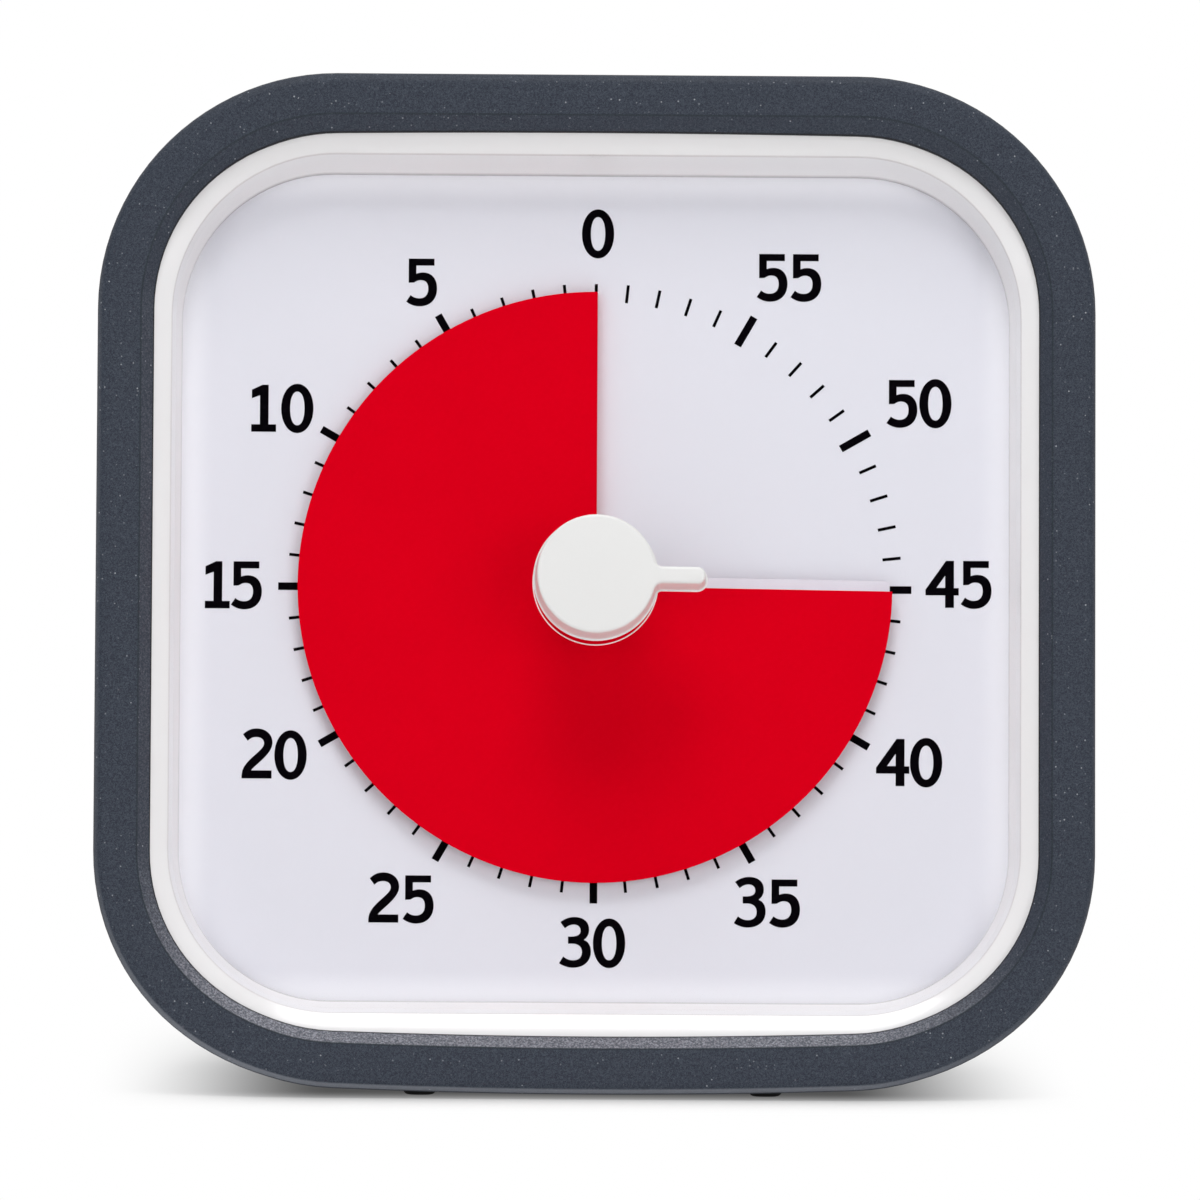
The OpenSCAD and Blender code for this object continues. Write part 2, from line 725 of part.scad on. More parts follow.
module chassis() {
    rim_t = 1.2;
    color([0.85, 0.85, 0.87]) leaned() difference() {
        union() {
            core_plate(frame_inner_r - chassis_fit, chassis_back_z, chassis_front_z);
            // Rim that the dial rests on
            difference() {
                plate(dial_edge[0], dial_edge[1], dial_edge[2], chassis_front_z - 0.1, -dial_t);
                plate(dial_edge[0] - 2 * rim_t, dial_edge[1] - 2 * rim_t, dial_edge[2] - rim_t,
                      chassis_front_z - over, over);
            }
            rod(3.2, bearing_z, hub_low_z - end_play);
            at_pivots() rod(boss_r, bearing_z, chassis_back_z + 0.1);
            rod(peg_r + 0.7, stator_z + stator_t, chassis_back_z + 0.1, peg_at);
            rod(peg_r, stator_z - 0.4, chassis_back_z + 0.1, peg_at);
            at_posts() rod(post_r, post_join_z, chassis_back_z + 0.1);
            at_ears() rod(boss_r, chassis_back_z, chassis_front_z + 0.8);
        }
        rod(shaft_r + run_fit, bearing_z - over, over);
        at_pivots() rod(pivot_r + run_fit, bearing_z - over, bearing_z + pivot_l + 0.2);
        at_posts() rod(screw_r, post_join_z - over, chassis_front_z - 0.4);
        at_ears() rod(small_screw_r, chassis_back_z - over, chassis_front_z + 0.3);
    }
}

module movement_cover() {
    module room() {
        translate([box_at[0], box_at[1], 0])
            plate(box_w - 2 * movement_wall, box_h - 2 * movement_wall, box_r - movement_wall,
                  floor_z, chassis_back_z + over);
    }
    color([0.3, 0.3, 0.32]) leaned() difference() {
        union() {
            difference() {
                union() {
                    translate([box_at[0], box_at[1], 0])
                        plate(box_w, box_h, box_r, movement_back_z, chassis_back_z);
                    for (x = [-1, 1]) hull() for (reach = [ear_x, box_w / 2 - movement_wall])
                        rod(ear_r, chassis_back_z - ear_t, chassis_back_z,
                            [box_at[0] + x * reach, box_at[1]]);
                }
                room();
            }
            at_pivots() rod(boss_r, floor_z - 0.1, rear_bearing_z);
            rod(shaft_r + 1.5, floor_z - 0.1, rear_bearing_z);
        }
        rod(shaft_r + run_fit, floor_z, rear_bearing_z + over);
        at_pivots() rod(pivot_r + run_fit, rear_bearing_z - pivot_l - 0.2, rear_bearing_z + over);
        at_ears() rod(small_screw_r + screw_fit, chassis_back_z - ear_t - over,
                      chassis_back_z + over);
    }
}

// A pan-head screw along z, its head below z0, with a cross in the head
module screw(r, tip_z, z0, head_radius, head_height) {
    difference() {
        union() {
            rod(r, z0 - 0.1, tip_z);
            rod(head_radius, z0 - head_height, z0);
        }
        for (a = [0, 90]) rotate(a)
            translate([-head_radius * 0.6, -head_radius * 0.12, z0 - head_height - over])
                cube([head_radius * 1.2, head_radius * 0.24, over + head_height * 0.5]);
    }
}

module movement_screws() {
    color("silver") leaned() at_ears()
        screw(small_screw_r - thread_fit, chassis_front_z, chassis_back_z - ear_t,
              small_head_r, small_head_h);
}

// Pockets for the door's lugs, and the notches in the back that they pass
module lug_pockets() {
    for (x = [-1, 1]) translate([x * lug_x - lug_l / 2 - lug_play, 0, 0]) {
        translate([0, hinge_at[0] - lug_r - 0.5, hinge_at[1] - lug_r - 0.3])
            cube([lug_l + 2 * lug_play, door_low_y - hinge_at[0] + 1.2, 2 * (lug_r + lug_play)]);
        translate([0, hinge_at[0] - 0.2, back_z - over])
            cube([lug_l + 2 * lug_play, door_low_y - hinge_at[0] + 0.3, door_t + over]);
    }
}

// The shell of the back, with the tongue that enters the frame
module back_shell() {
    tongue_r = frame_inner_r - tongue_fit;
    difference() {
        drafted_block(case_r(back_z), back_z, case_r(split_z), split_z);
        drafted_block(case_r(wall_in_z) - case_wall, wall_in_z,
                      case_r(split_z + over) - case_wall, split_z + over);
    }
    difference() {
        core_plate(tongue_r, split_z - 1.5, split_z + tongue_h);
        core_plate(tongue_r - tongue_t, split_z - 1.5 - over, split_z + tongue_h + over);
    }
}

// The sound holes, and the switch's slot in a shallow dish
module back_holes() {
    slot = [nub_w + switch_travel, nub_d] + 2 * slot_fit * [1, 1];
    rod(sound_hole_r, back_z - over, wall_in_z + over, buzzer_at);
    for (a = [0:60:300])
        rod(sound_hole_r, back_z - over, wall_in_z + over,
            buzzer_at + hole_pitch * [cos(a), sin(a)]);
    translate([board_at[0], board_at[1], back_z - over]) {
        linear_extrude(over + dish_t) rotate(90) slot_2d(slot[1] + 2.6, slot[0] + 4.2);
        translate([-slot[0] / 2, -slot[1] / 2, 0]) cube([slot[0], slot[1], case_wall + 2 * over]);
    }
}

module rear_case() {
    color([0.93, 0.93, 0.93]) difference() {
        leaned() difference() {
            union() {
                back_shell();
                // Battery bay
                translate([-bay_l / 2 - bay_wall, bay_y - bay_h / 2 - bay_wall, back_z + 0.2])
                    cube([bay_l + 2 * bay_wall, bay_h + 2 * bay_wall,
                          bay_floor_z + bay_wall - back_z - 0.2]);
                at_posts() rod(post_r, back_z + 0.2, post_join_z);
                rod(buzzer_r + 1.4, wall_in_z - 0.1, wall_in_z + 2.5, buzzer_at);
                at_board_holes() rod(2, wall_in_z - 0.1, board_back_z);
            }
            translate([-bay_l / 2, bay_y - bay_h / 2, back_z - over])
                cube([bay_l, bay_h, bay_floor_z - back_z + over]);
            translate([-door_w / 2 - door_fit, door_low_y - door_fit, back_z - over])
                cube([door_w + 2 * door_fit, door_h + 2 * door_fit, door_t + over]);
            lug_pockets();
            // Finger notch above the door
            translate([0, door_low_y + door_h - 0.5, back_z - 0.5])
                rotate([0, 90, 0]) translate([0, 0, -notch_w / 2])
                    cylinder(r = notch_r, h = notch_w);
            at_posts() {
                rod(screw_r + screw_fit, back_z - over, post_join_z + over);
                rod(head_r + head_fit, back_z - over, back_z + head_depth);
            }
            rod(buzzer_r + buzzer_fit, wall_in_z, wall_in_z + 3, buzzer_at);
            back_holes();
            at_board_holes() rod(small_screw_r, wall_in_z, board_back_z + over);
        }
        foot_prisms(foot_fit / 2, -over, case_bottom_z + foot_sink);
    }
}

module case_screws() {
    color("silver") leaned() at_posts()
        screw(screw_r - thread_fit, chassis_back_z + 0.2, back_z + head_depth, head_r, head_h);
}

module battery_door() {
    color([0.93, 0.93, 0.93]) leaned()
        translate([0, hinge_at[0], hinge_at[1]]) rotate([-door_open, 0, 0])
        translate([0, -hinge_at[0], -hinge_at[1]]) {
            difference() {
                translate([-door_w / 2, door_low_y, back_z]) cube([door_w, door_h, door_t]);
                // Chamfer that lets the door swing, and grip grooves near its free edge
                translate([-door_w / 2 - over, door_low_y, back_z]) rotate([45, 0, 0])
                    translate([0, -0.8, -0.8]) cube([door_w + 2 * over, 1.6, 1.6]);
                for (i = [0:3])
                    translate([-grip_w / 2, door_low_y + door_h - grip_y - grip_pitch * i,
                               back_z - over])
                        cube([grip_w, grip_t, over + grip_d]);
            }
            for (x = [-1, 1]) {
                translate([x * lug_x - lug_l / 2, hinge_at[0], hinge_at[1]])
                    rotate([0, 90, 0]) cylinder(r = lug_r, h = lug_l);
                translate([x * lug_x - lug_l / 2, hinge_at[0], hinge_at[1] - 0.3])
                    cube([lug_l, door_low_y - hinge_at[0] + 0.1, 0.3 + lug_r]);
            }
        }
}

module battery() {
    color([0.75, 0.5, 0.2]) leaned() translate([cell_end_x, bay_y, cell_z])
        rotate([0, -90, 0]) {
            cylinder(r = button_r, h = button_h + 0.1);
            translate([0, 0, button_h]) cylinder(r = cell_r, h = cell_l - button_h);
        }
}

module plus_contact() {
    tab_l = bay_floor_z - tab_gap - cell_z - plate_h / 2;
    color("silver") leaned()
        translate([bay_l / 2 - contact_t, bay_y - plate_w / 2, cell_z - plate_h / 2]) {
            cube([contact_t, plate_w, plate_h]);
            translate([0, (plate_w - tab_w) / 2, plate_h]) cube([contact_t, tab_w, tab_l]);
        }
}

// A ring of the coil spring's wire at a fraction of its length
function spring_centre(t, turns, length, big_r, small_r) =
    let (a = 360 * turns * t, r = big_r + (small_r - big_r) * t)
    [length * t, r * cos(a), r * sin(a)];
function wire_ring(centre, angle, wire, sides) =
    [for (k = [0:sides - 1])
        let (b = 360 * k / sides)
        centre + wire * [sin(b), cos(b) * cos(angle), cos(b) * sin(angle)]];

module spring_contact() {
    turns = 4;
    steps = 64;
    sides = 6;
    wire = 0.3;
    weld = 0.05;
    rings = [for (i = [0:steps])
        let (t = i / steps)
        let (at = spring_centre(t, turns, spring_l - 2 * wire, spring_r, spring_tip_r))
        each wire_ring(at, 360 * turns * t, wire, sides)];
    walls = [for (i = [0:steps - 1], k = [0:sides - 1])
        [i * sides + k, i * sides + (k + 1) % sides,
         (i + 1) * sides + (k + 1) % sides, (i + 1) * sides + k]];
    ends = [[for (k = [sides - 1:-1:0]) k], [for (k = [0:sides - 1]) steps * sides + k]];
    color("silver") leaned() translate([-bay_l / 2, bay_y, cell_z]) {
        translate([0, -plate_w / 2, -plate_h / 2]) cube([contact_t, plate_w, plate_h]);
        translate([contact_t + wire - weld, 0, 0])
            polyhedron(points = rings, faces = concat(walls, ends));
    }
}

module circuit_board() {
    color("seagreen") leaned() difference() {
        translate([board_at[0] - board_w / 2, board_at[1] - board_h / 2, board_back_z])
            cube([board_w, board_h, board_t]);
        at_board_holes()
            rod(small_screw_r + screw_fit, board_back_z - over, board_front_z + over);
    }
}

module board_screws() {
    color("silver") leaned() at_board_holes() translate([0, 0, board_front_z]) mirror([0, 0, 1])
        screw(small_screw_r - thread_fit, board_t + board_screw_bite, 0, small_head_r,
              small_head_h);
}

module chip() {
    color([0.1, 0.1, 0.1]) leaned()
        translate([board_at[0] - 6, board_at[1] - 5.5, board_front_z]) cube([6, 5, 1.4]);
}

module crystal() {
    color("silver") leaned() translate([board_at[0] + 3, board_at[1] - 4, board_front_z + 1])
        rotate([0, 90, 0]) cylinder(r = 1, h = 6);
}

module buzzer() {
    color([0.12, 0.12, 0.12]) leaned() difference() {
        rod(buzzer_r, wall_in_z, wall_in_z + buzzer_h, buzzer_at);
        rod(1.2, wall_in_z - over, wall_in_z + 2, buzzer_at);
    }
}

module switch_body() {
    color([0.2, 0.2, 0.22]) leaned() difference() {
        translate([board_at[0] - switch_w / 2, board_at[1] - switch_d / 2, wall_in_z + 0.2])
            cube([switch_w, switch_d, switch_h]);
        translate([board_at[0] - nub_w / 2 - switch_travel / 2 - 0.3,
                   board_at[1] - nub_d / 2 - 0.3, wall_in_z])
            cube([nub_w + switch_travel + 0.6, nub_d + 0.6, 2.2]);
    }
}

module switch_slider() {
    color([0.15, 0.15, 0.16]) leaned()
        translate([board_at[0] - (nub_w + switch_travel) / 2, board_at[1] - nub_d / 2,
                   back_z + 0.1])
            cube([nub_w, nub_d, case_wall + 1.8]);
}

module feet() {
    color([0.05, 0.05, 0.05]) foot_prisms(0, 0, case_bottom_z + foot_sink - 0.05);
}

silicone_cover();
front_frame();
lens();
dial();
time_disc();
knob();
knob_shaft();
disc_hub();
setting_wheel();
friction_washer();
retaining_ring();
third_wheel();
second_wheel();
rotor();
stator();
coil();
chassis();
movement_cover();
movement_screws();
rear_case();
case_screws();
battery_door();
battery();
plus_contact();
spring_contact();
circuit_board();
board_screws();
chip();
crystal();
buzzer();
switch_body();
switch_slider();
feet();
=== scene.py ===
"""Looks of a desk countdown timer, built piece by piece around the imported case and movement."""

import json
import logging
import math
from dataclasses import dataclass
from enum import Enum
from typing import Iterable, Sequence

import bmesh
import bpy
from mathutils import Matrix, Vector


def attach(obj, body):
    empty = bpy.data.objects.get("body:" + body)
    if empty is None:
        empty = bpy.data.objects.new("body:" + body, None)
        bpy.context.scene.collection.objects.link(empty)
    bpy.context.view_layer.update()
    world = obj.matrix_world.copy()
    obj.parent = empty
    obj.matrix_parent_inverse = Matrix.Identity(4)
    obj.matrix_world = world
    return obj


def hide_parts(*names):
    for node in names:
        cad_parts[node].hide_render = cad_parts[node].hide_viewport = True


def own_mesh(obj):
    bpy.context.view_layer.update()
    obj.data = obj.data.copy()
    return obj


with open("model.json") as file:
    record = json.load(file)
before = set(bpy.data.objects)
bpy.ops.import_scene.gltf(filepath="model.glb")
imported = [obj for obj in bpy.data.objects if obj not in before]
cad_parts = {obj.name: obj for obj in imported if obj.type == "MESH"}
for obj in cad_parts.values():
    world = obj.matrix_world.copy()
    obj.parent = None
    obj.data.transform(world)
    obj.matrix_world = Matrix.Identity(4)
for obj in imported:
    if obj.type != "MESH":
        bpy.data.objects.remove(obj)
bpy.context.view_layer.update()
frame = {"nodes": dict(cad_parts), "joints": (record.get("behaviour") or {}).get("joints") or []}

MM = 0.001
CORNER_STEPS = 24
# Faces with more sides than this are end caps.
CAP_SIDES = 8
# Points closer than these, in millimetres, count as one or as level.
HAIR = 1e-5
TOUCH = 1e-4
LOG = logging.getLogger("timer")

Point2 = tuple[float, float]
Colour = tuple[float, float, float]


class Body(Enum):
    """The moving bodies that new pieces ride on."""

    CASE = "case"
    KNOB = "knob"


def tone(red: float, green: float, blue: float) -> Colour:
    """A display colour, 0 to 255 a channel, as the linear values that a shader takes.

    Args:
        red: Red channel.
        green: Green channel.
        blue: Blue channel.

    Returns:
        The three linear channels.
    """

    def linear(level: float) -> float:
        """One channel, from display to linear."""
        share = level / 255
        return share / 12.92 if share <= 0.04045 else ((share + 0.055) / 1.055) ** 2.4

    return (linear(red), linear(green), linear(blue))


# ---------------------------------------------------------------- places


@dataclass(frozen=True)
class FaceFrame:
    """The leaning frame of the dial, in millimetres: x right, y up the face, z out of the dial.

    Attributes:
        origin: Where the knob's axis crosses the dial's face, in metres.
        out: Unit vector out of the dial.
    """

    origin: Vector
    out: Vector

    @classmethod
    def from_joint(cls, joints: list[dict], name: str) -> "FaceFrame":
        """Reads the frame from the knob's own joint.

        Args:
            joints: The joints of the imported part.
            name: Name of the joint on the knob's axis.

        Returns:
            The dial's frame.
        """
        joint = next(j for j in joints if j["name"] == name)
        return cls(Vector(joint["pos_m"]), Vector(joint["axis"]).normalized())

    @property
    def up(self) -> Vector:
        """Unit vector up the face."""
        return self.out.cross(Vector((1, 0, 0)))

    @property
    def matrix(self) -> Matrix:
        """Takes millimetres on the face to metres in the room."""
        turn = Matrix((Vector((1, 0, 0)), self.up, self.out)).transposed().to_4x4()
        return Matrix.Translation(self.origin) @ turn @ Matrix.Scale(MM, 4)

    def at(self, x: float, y: float, z: float) -> Vector:
        """A point of the room, in metres, from millimetres on the face."""
        return self.matrix @ Vector((x, y, z))


@dataclass(frozen=True)
class Ring:
    """One rounded rectangle of a wall, in millimetres.

    Attributes:
        core_x: Half width of the rectangle through the corner arcs' centres.
        core_y: Half height of that rectangle.
        radius: Radius of the corners.
        z: Height above the dial.
    """

    core_x: float
    core_y: float
    radius: float
    z: float

    @classmethod
    def of_size(cls, width: float, height: float, radius: float, z: float) -> "Ring":
        """A ring given by its full width and height."""
        return cls(width / 2 - radius, height / 2 - radius, radius, z)


FACE = FaceFrame.from_joint(frame["joints"], "knob_turn")


# ---------------------------------------------------------------- shader maths


class Wire:
    """A socket's output that takes part in Python expressions, each of which adds a Math node."""

    def __init__(self, bench: "Bench", socket: bpy.types.NodeSocket) -> None:
        """Holds the socket and the bench that adds nodes for it."""
        self.bench = bench
        self.socket = socket

    def _math(self, operation: str, first: "Wire | float", second: "Wire | float") -> "Wire":
        """Adds one Math node.

        Args:
            operation: The node's operation.
            first: First value.
            second: Second value.

        Returns:
            The node's result.
        """
        node = self.bench.node("ShaderNodeMath", {"operation": operation}, {0: first, 1: second})
        return self.bench.wire(node)

    def __add__(self, other: "Wire | float") -> "Wire":
        """Sum."""
        return self._math("ADD", self, other)

    def __radd__(self, other: float) -> "Wire":
        """Sum, the number first."""
        return self._math("ADD", other, self)

    def __sub__(self, other: "Wire | float") -> "Wire":
        """Difference."""
        return self._math("SUBTRACT", self, other)

    def __rsub__(self, other: float) -> "Wire":
        """Difference, the number first."""
        return self._math("SUBTRACT", other, self)

    def __mul__(self, other: "Wire | float") -> "Wire":
        """Product."""
        return self._math("MULTIPLY", self, other)

    def __rmul__(self, other: float) -> "Wire":
        """Product, the number first."""
        return self._math("MULTIPLY", other, self)

    def __pow__(self, other: "Wire | float") -> "Wire":
        """Power."""
        return self._math("POWER", self, other)

    def at_most(self, other: "Wire | float") -> "Wire":
        """The lesser of the two."""
        return self._math("MINIMUM", self, other)

    def at_least(self, other: "Wire | float") -> "Wire":
        """The greater of the two."""
        return self._math("MAXIMUM", self, other)

    def over(self, level: float) -> "Wire":
        """1 where the value is above the level, and 0 elsewhere."""
        return self._math("GREATER_THAN", self, level)

    def size(self) -> "Wire":
        """The value without its sign."""
        return self._math("ABSOLUTE", self, 0.0)

    def rise(self, low: float, high: float) -> "Wire":
        """A smooth step from 0 at low to 1 at high."""
        settings = {"interpolation_type": "SMOOTHSTEP"}
        values = {"Value": self, "From Min": low, "From Max": high}
        return self.bench.wire(self.bench.node("ShaderNodeMapRange", settings, values))


class Bench:
    """Adds and joins the nodes of one material or world."""

    def __init__(self, tree: bpy.types.NodeTree) -> None:
        """Empties the tree."""
        self.tree = tree
        tree.nodes.clear()

    def node(
        self, kind: str, settings: dict | None = None, values: dict | None = None
    ) -> bpy.types.Node:
        """Adds a node.

        Args:
            kind: The node's type.
            settings: Its own settings, set first.
            values: A value or a Wire for each input, by name or number.

        Returns:
            The node.
        """
        made = self.tree.nodes.new(kind)
        for name, setting in (settings or {}).items():
            setattr(made, name, setting)
        for name, value in (values or {}).items():
            socket = made.inputs[name]
            if isinstance(value, Wire):
                self.tree.links.new(value.socket, socket)
            elif isinstance(value, tuple) and socket.type == "RGBA":
                socket.default_value = (*value, 1)
            else:
                socket.default_value = value
        return made

    def wire(self, node: bpy.types.Node, output: int | str = 0) -> Wire:
        """One of a node's outputs."""
        return Wire(self, node.outputs[output])

    def place(self) -> Wire:
        """The point on the object, in metres."""
        return self.wire(self.node("ShaderNodeTexCoord"), "Object")

    def face_place(self, face: FaceFrame) -> Wire:
        """The point in the dial's frame, in millimetres."""
        turn = face.matrix.inverted()
        values = {
            "Vector": self.place(),
            "Location": turn.to_translation(),
            "Rotation": turn.to_euler("XYZ"),
            "Scale": Vector((1, 1, 1)) / MM,
        }
        return self.wire(self.node("ShaderNodeMapping", {"vector_type": "POINT"}, values))

    def parts(self, vector: Wire) -> tuple[Wire, Wire, Wire]:
        """The three numbers of a vector."""
        node = self.node("ShaderNodeSeparateXYZ", None, {0: vector})
        return self.wire(node, 0), self.wire(node, 1), self.wire(node, 2)

    def noted(self, name: str) -> Wire:
        """A number that is noted on the piece's own points."""
        return self.wire(self.node("ShaderNodeAttribute", {"attribute_name": name}), "Fac")

    def noise(self, where: Wire, per_metre: float, detail: float = 2.0, rough: float = 0.5) -> Wire:
        """Smooth noise between 0 and 1.

        Args:
            where: The point, in metres.
            per_metre: How many bumps in a metre.
            detail: Octaves of finer noise.
            rough: Weight of the finer octaves.

        Returns:
            The noise.
        """
        values = {"Vector": where, "Scale": per_metre, "Detail": detail, "Roughness": rough}
        return self.wire(self.node("ShaderNodeTexNoise", None, values), 0)

    def cells(self, where: Wire, per_metre: float, feature: str = "F1") -> bpy.types.Node:
        """Voronoi cells at a density."""
        values = {"Vector": where, "Scale": per_metre}
        return self.node("ShaderNodeTexVoronoi", {"feature": feature}, values)

    def blend(self, share: Wire | float, first: Wire | Colour, second: Wire | Colour) -> Wire:
        """Mixes two colours by a share of the second."""
        settings = {"data_type": "RGBA", "blend_type": "MIX"}
        node = self.node("ShaderNodeMix", settings, {0: share, 6: first, 7: second})
        return self.wire(node, 2)

    def bump(self, height: Wire, strength: float, distance: float) -> Wire:
        """A normal tilted by a height.

        Args:
            height: The height, 0 to 1.
            strength: How much of the tilt shows.
            distance: What a height of 1 stands for, in metres.

        Returns:
            The normal.
        """
        values = {"Height": height, "Strength": strength, "Distance": distance}
        return self.wire(self.node("ShaderNodeBump", None, values))

    def surface(self, **values: object) -> None:
        """Ends the material in one principled surface. Underscores in a name stand for spaces."""
        named = {name.replace("_", " "): value for name, value in values.items()}
        shader = self.node("ShaderNodeBsdfPrincipled", None, named)
        self.node("ShaderNodeOutputMaterial", None, {"Surface": self.wire(shader)})


# ---------------------------------------------------------------- finishes


@dataclass(frozen=True)
class Finish:
    """A surface finish. Each kind lays out its own nodes.

    Attributes:
        name: Name of the material.
        colour: Its main colour.
        roughness: How matt it is, 0 to 1.
    """

    name: str
    colour: Colour
    roughness: float = 0.4

    def material(self) -> bpy.types.Material:
        """The Blender material, made once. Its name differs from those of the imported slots."""
        title = f"{self.name}_finish"
        found = bpy.data.materials.get(title)
        if found is None:
            found = bpy.data.materials.new(title)
            found.use_nodes = True
            self.lay_out(Bench(found.node_tree))
            found.diffuse_color = (*self.colour, 1)
        return found

    def lay_out(self, bench: Bench) -> None:
        """Adds the nodes."""
        raise NotImplementedError


@dataclass(frozen=True)
class Silicone(Finish):
    """Soft rubber with a curly pale grain and pale specks; its bevel and edges carry painted sheen,
    a painted reflection and painted shade.

    The piece notes two numbers on its points: "reach" is the corner radius there, and "ledge"
    is how much the bevel there is turned up to the light, which weights the painted sheen there.

    Attributes:
        pale: Colour of the grain.
        curls: Share of the curly lines of the grain.
        specks: Share of the cells that hold a speck.
        opening_r: Corner radius at the opening.
        crease_r: Corner radius at the bevel's top.
        outer_r: Corner radius of the front's edge.
        front_z: Height that tells the front from the walls, in millimetres on the face.
    """

    pale: Colour = tone(84, 92, 104)
    curls: float = 0.36
    specks: float = 0.24
    opening_r: float = 16.8
    crease_r: float = 18.0
    outer_r: float = 22.0
    front_z: float = 4.9

    def edge_shade_and_glint(self, bench: Bench, base: Wire) -> Wire:
        """Adds painted shade in the gap at the opening, along the crease and along the outer edge,
        and a painted reflection of the floor along the lower outer edge.
        """
        reach = bench.noted("reach")
        height = bench.parts(bench.face_place(FACE))[2]
        front = height.rise(self.front_z, self.front_z + 0.3)
        # Painted reflection of the white floor: a pale line along the lower outer edge.
        floor_glint = reach.rise(self.outer_r - 0.5, self.outer_r - 0.3)
        floor_glint = floor_glint * (1 - reach.rise(self.outer_r - 0.09, self.outer_r - 0.02))
        base = bench.blend(floor_glint * bench.noted("ledge") * front * 0.45, base, tone(158, 162, 170))
        # Painted shade: a dark line along the outer edge, away from the lower side.
        edge = reach.rise(self.outer_r - 0.14, self.outer_r - 0.04) * (1 - bench.noted("ledge"))
        base = bench.blend(edge * front * 0.6, base, tone(24, 14, 28))
        # Painted shade along the crease at the bevel's top.
        crease = 1 - (reach - self.crease_r).size().rise(0.04, 0.12)
        base = bench.blend(crease * front * 0.6, base, tone(26, 38, 44))
        # Painted shade in the gap between the opening and the frame.
        gap = 1 - reach.rise(self.opening_r + 0.07, self.opening_r + 0.15)
        return bench.blend(gap * front * 0.85, base, tone(14, 13, 14))

    def dust_and_sheen(self, bench: Bench, base: Wire, grain: Wire) -> Wire:
        """Paints the sheen of the light from above, with a dusty grain, on the part of the bevel
        that is turned up.
        """
        reach = bench.noted("reach")
        bevel = 1 - reach.rise(self.crease_r - 0.08, self.crease_r)
        bevel = bevel * reach.rise(self.opening_r - 0.5, self.opening_r)
        # Painted sheen: paler where the bevel is turned up to the light, broken by the grain.
        share = bevel * bench.noted("ledge") * (0.1 + grain * 0.42)
        return bench.blend(share, base, tone(205, 205, 214))

    def lay_out(self, bench: Bench) -> None:
        """Adds the nodes."""
        place = bench.place()
        fine = bench.noise(place, 5200, 3, 0.7)
        swirl = bench.noise(place, 7200, 1) - 0.5
        curl = 1 - (swirl * swirl).rise(0.0003, 0.004)
        grain = fine.rise(0.38, 0.7)
        base = bench.blend(curl * self.curls + grain * 0.3, self.colour, self.pale)
        broad = bench.noise(place, 60, 2)
        base = bench.blend((broad - 0.5) * 0.3, base, tone(46, 52, 60))
        base = self.dust_and_sheen(bench, base, grain)
        cells = bench.cells(place, 2600)
        chance, strength, _ = bench.parts(bench.wire(cells, "Color"))
        near = 1 - bench.wire(cells, "Distance").rise(0.1, 0.26)
        speck = near * (1 - chance.over(self.specks)) * (0.06 + strength**3 * 0.5)
        base = bench.blend(speck, base, tone(200, 205, 212))
        bench.surface(
            Base_Color=self.edge_shade_and_glint(bench, base),
            Roughness=0.5 + fine * 0.2,
            IOR=1.43,
            Specular_IOR_Level=0.45,
            Normal=bench.bump(fine, 0.35, 0.00006),
        )


@dataclass(frozen=True)
class Moulding(Finish):
    """Moulded plastic with a faint orange-peel skin.

    Attributes:
        skin: Depth of the skin's waves, in metres.
        per_metre: Waves in a metre.
        mottle: How much the colour drifts.
        coat: Weight of the polished top.
        shine: How much its surface mirrors; 0.5 is plain plastic.
    """

    skin: float = 0.00002
    per_metre: float = 900.0
    mottle: float = 0.03
    coat: float = 0.0
    shine: float = 0.5

    def base(self, bench: Bench, place: Wire) -> Wire:
        """The colour, which drifts a little."""
        drift = bench.noise(place, 45, 2)
        shade = tuple(channel * (1 - self.mottle) for channel in self.colour)
        return bench.blend(drift, self.colour, shade)

    def lay_out(self, bench: Bench) -> None:
        """Adds the nodes."""
        place = bench.place()
        wave = bench.noise(place, self.per_metre, 2)
        bench.surface(
            Base_Color=self.base(bench, place),
            Roughness=self.roughness + (wave - 0.5) * 0.08,
            IOR=1.5,
            Specular_IOR_Level=self.shine,
            Coat_Weight=self.coat,
            Coat_Roughness=0.08,
            Normal=bench.bump(wave, 0.25, self.skin),
        )


@dataclass(frozen=True)
class BezelWhite(Moulding):
    """Polished moulding with a fine line along its crease, and painted shade at its foot, where it
    meets the dial.

    Attributes:
        crease_z: Height of the crease, in millimetres on the face.
        foot_shade_z: Height that the painted shade at the foot reaches.
        end_y: Distance up or down the face at which the painted shade is at its darkest.
    """

    crease_z: float = 3.88
    foot_shade_z: float = 0.85
    end_y: float = 38.4

    def base(self, bench: Bench, place: Wire) -> Wire:
        """The colour, with its line and the painted shade at its foot."""
        colour = super().base(bench, place)
        _, up, height = bench.parts(bench.face_place(FACE))
        line = 1 - (height - self.crease_z).size().rise(0.08, 0.16)
        colour = bench.blend(line * 0.3, colour, tone(170, 156, 150))
        # Painted shade where the foot meets the dial, darker towards the top and bottom.
        foot_shade = (1 - height.rise(0.1, self.foot_shade_z)) * height.rise(-0.3, -0.1)
        share = 0.22 + up.size().rise(self.end_y - 8, self.end_y) * 0.4
        return bench.blend(foot_shade * share, colour, tone(96, 84, 86))


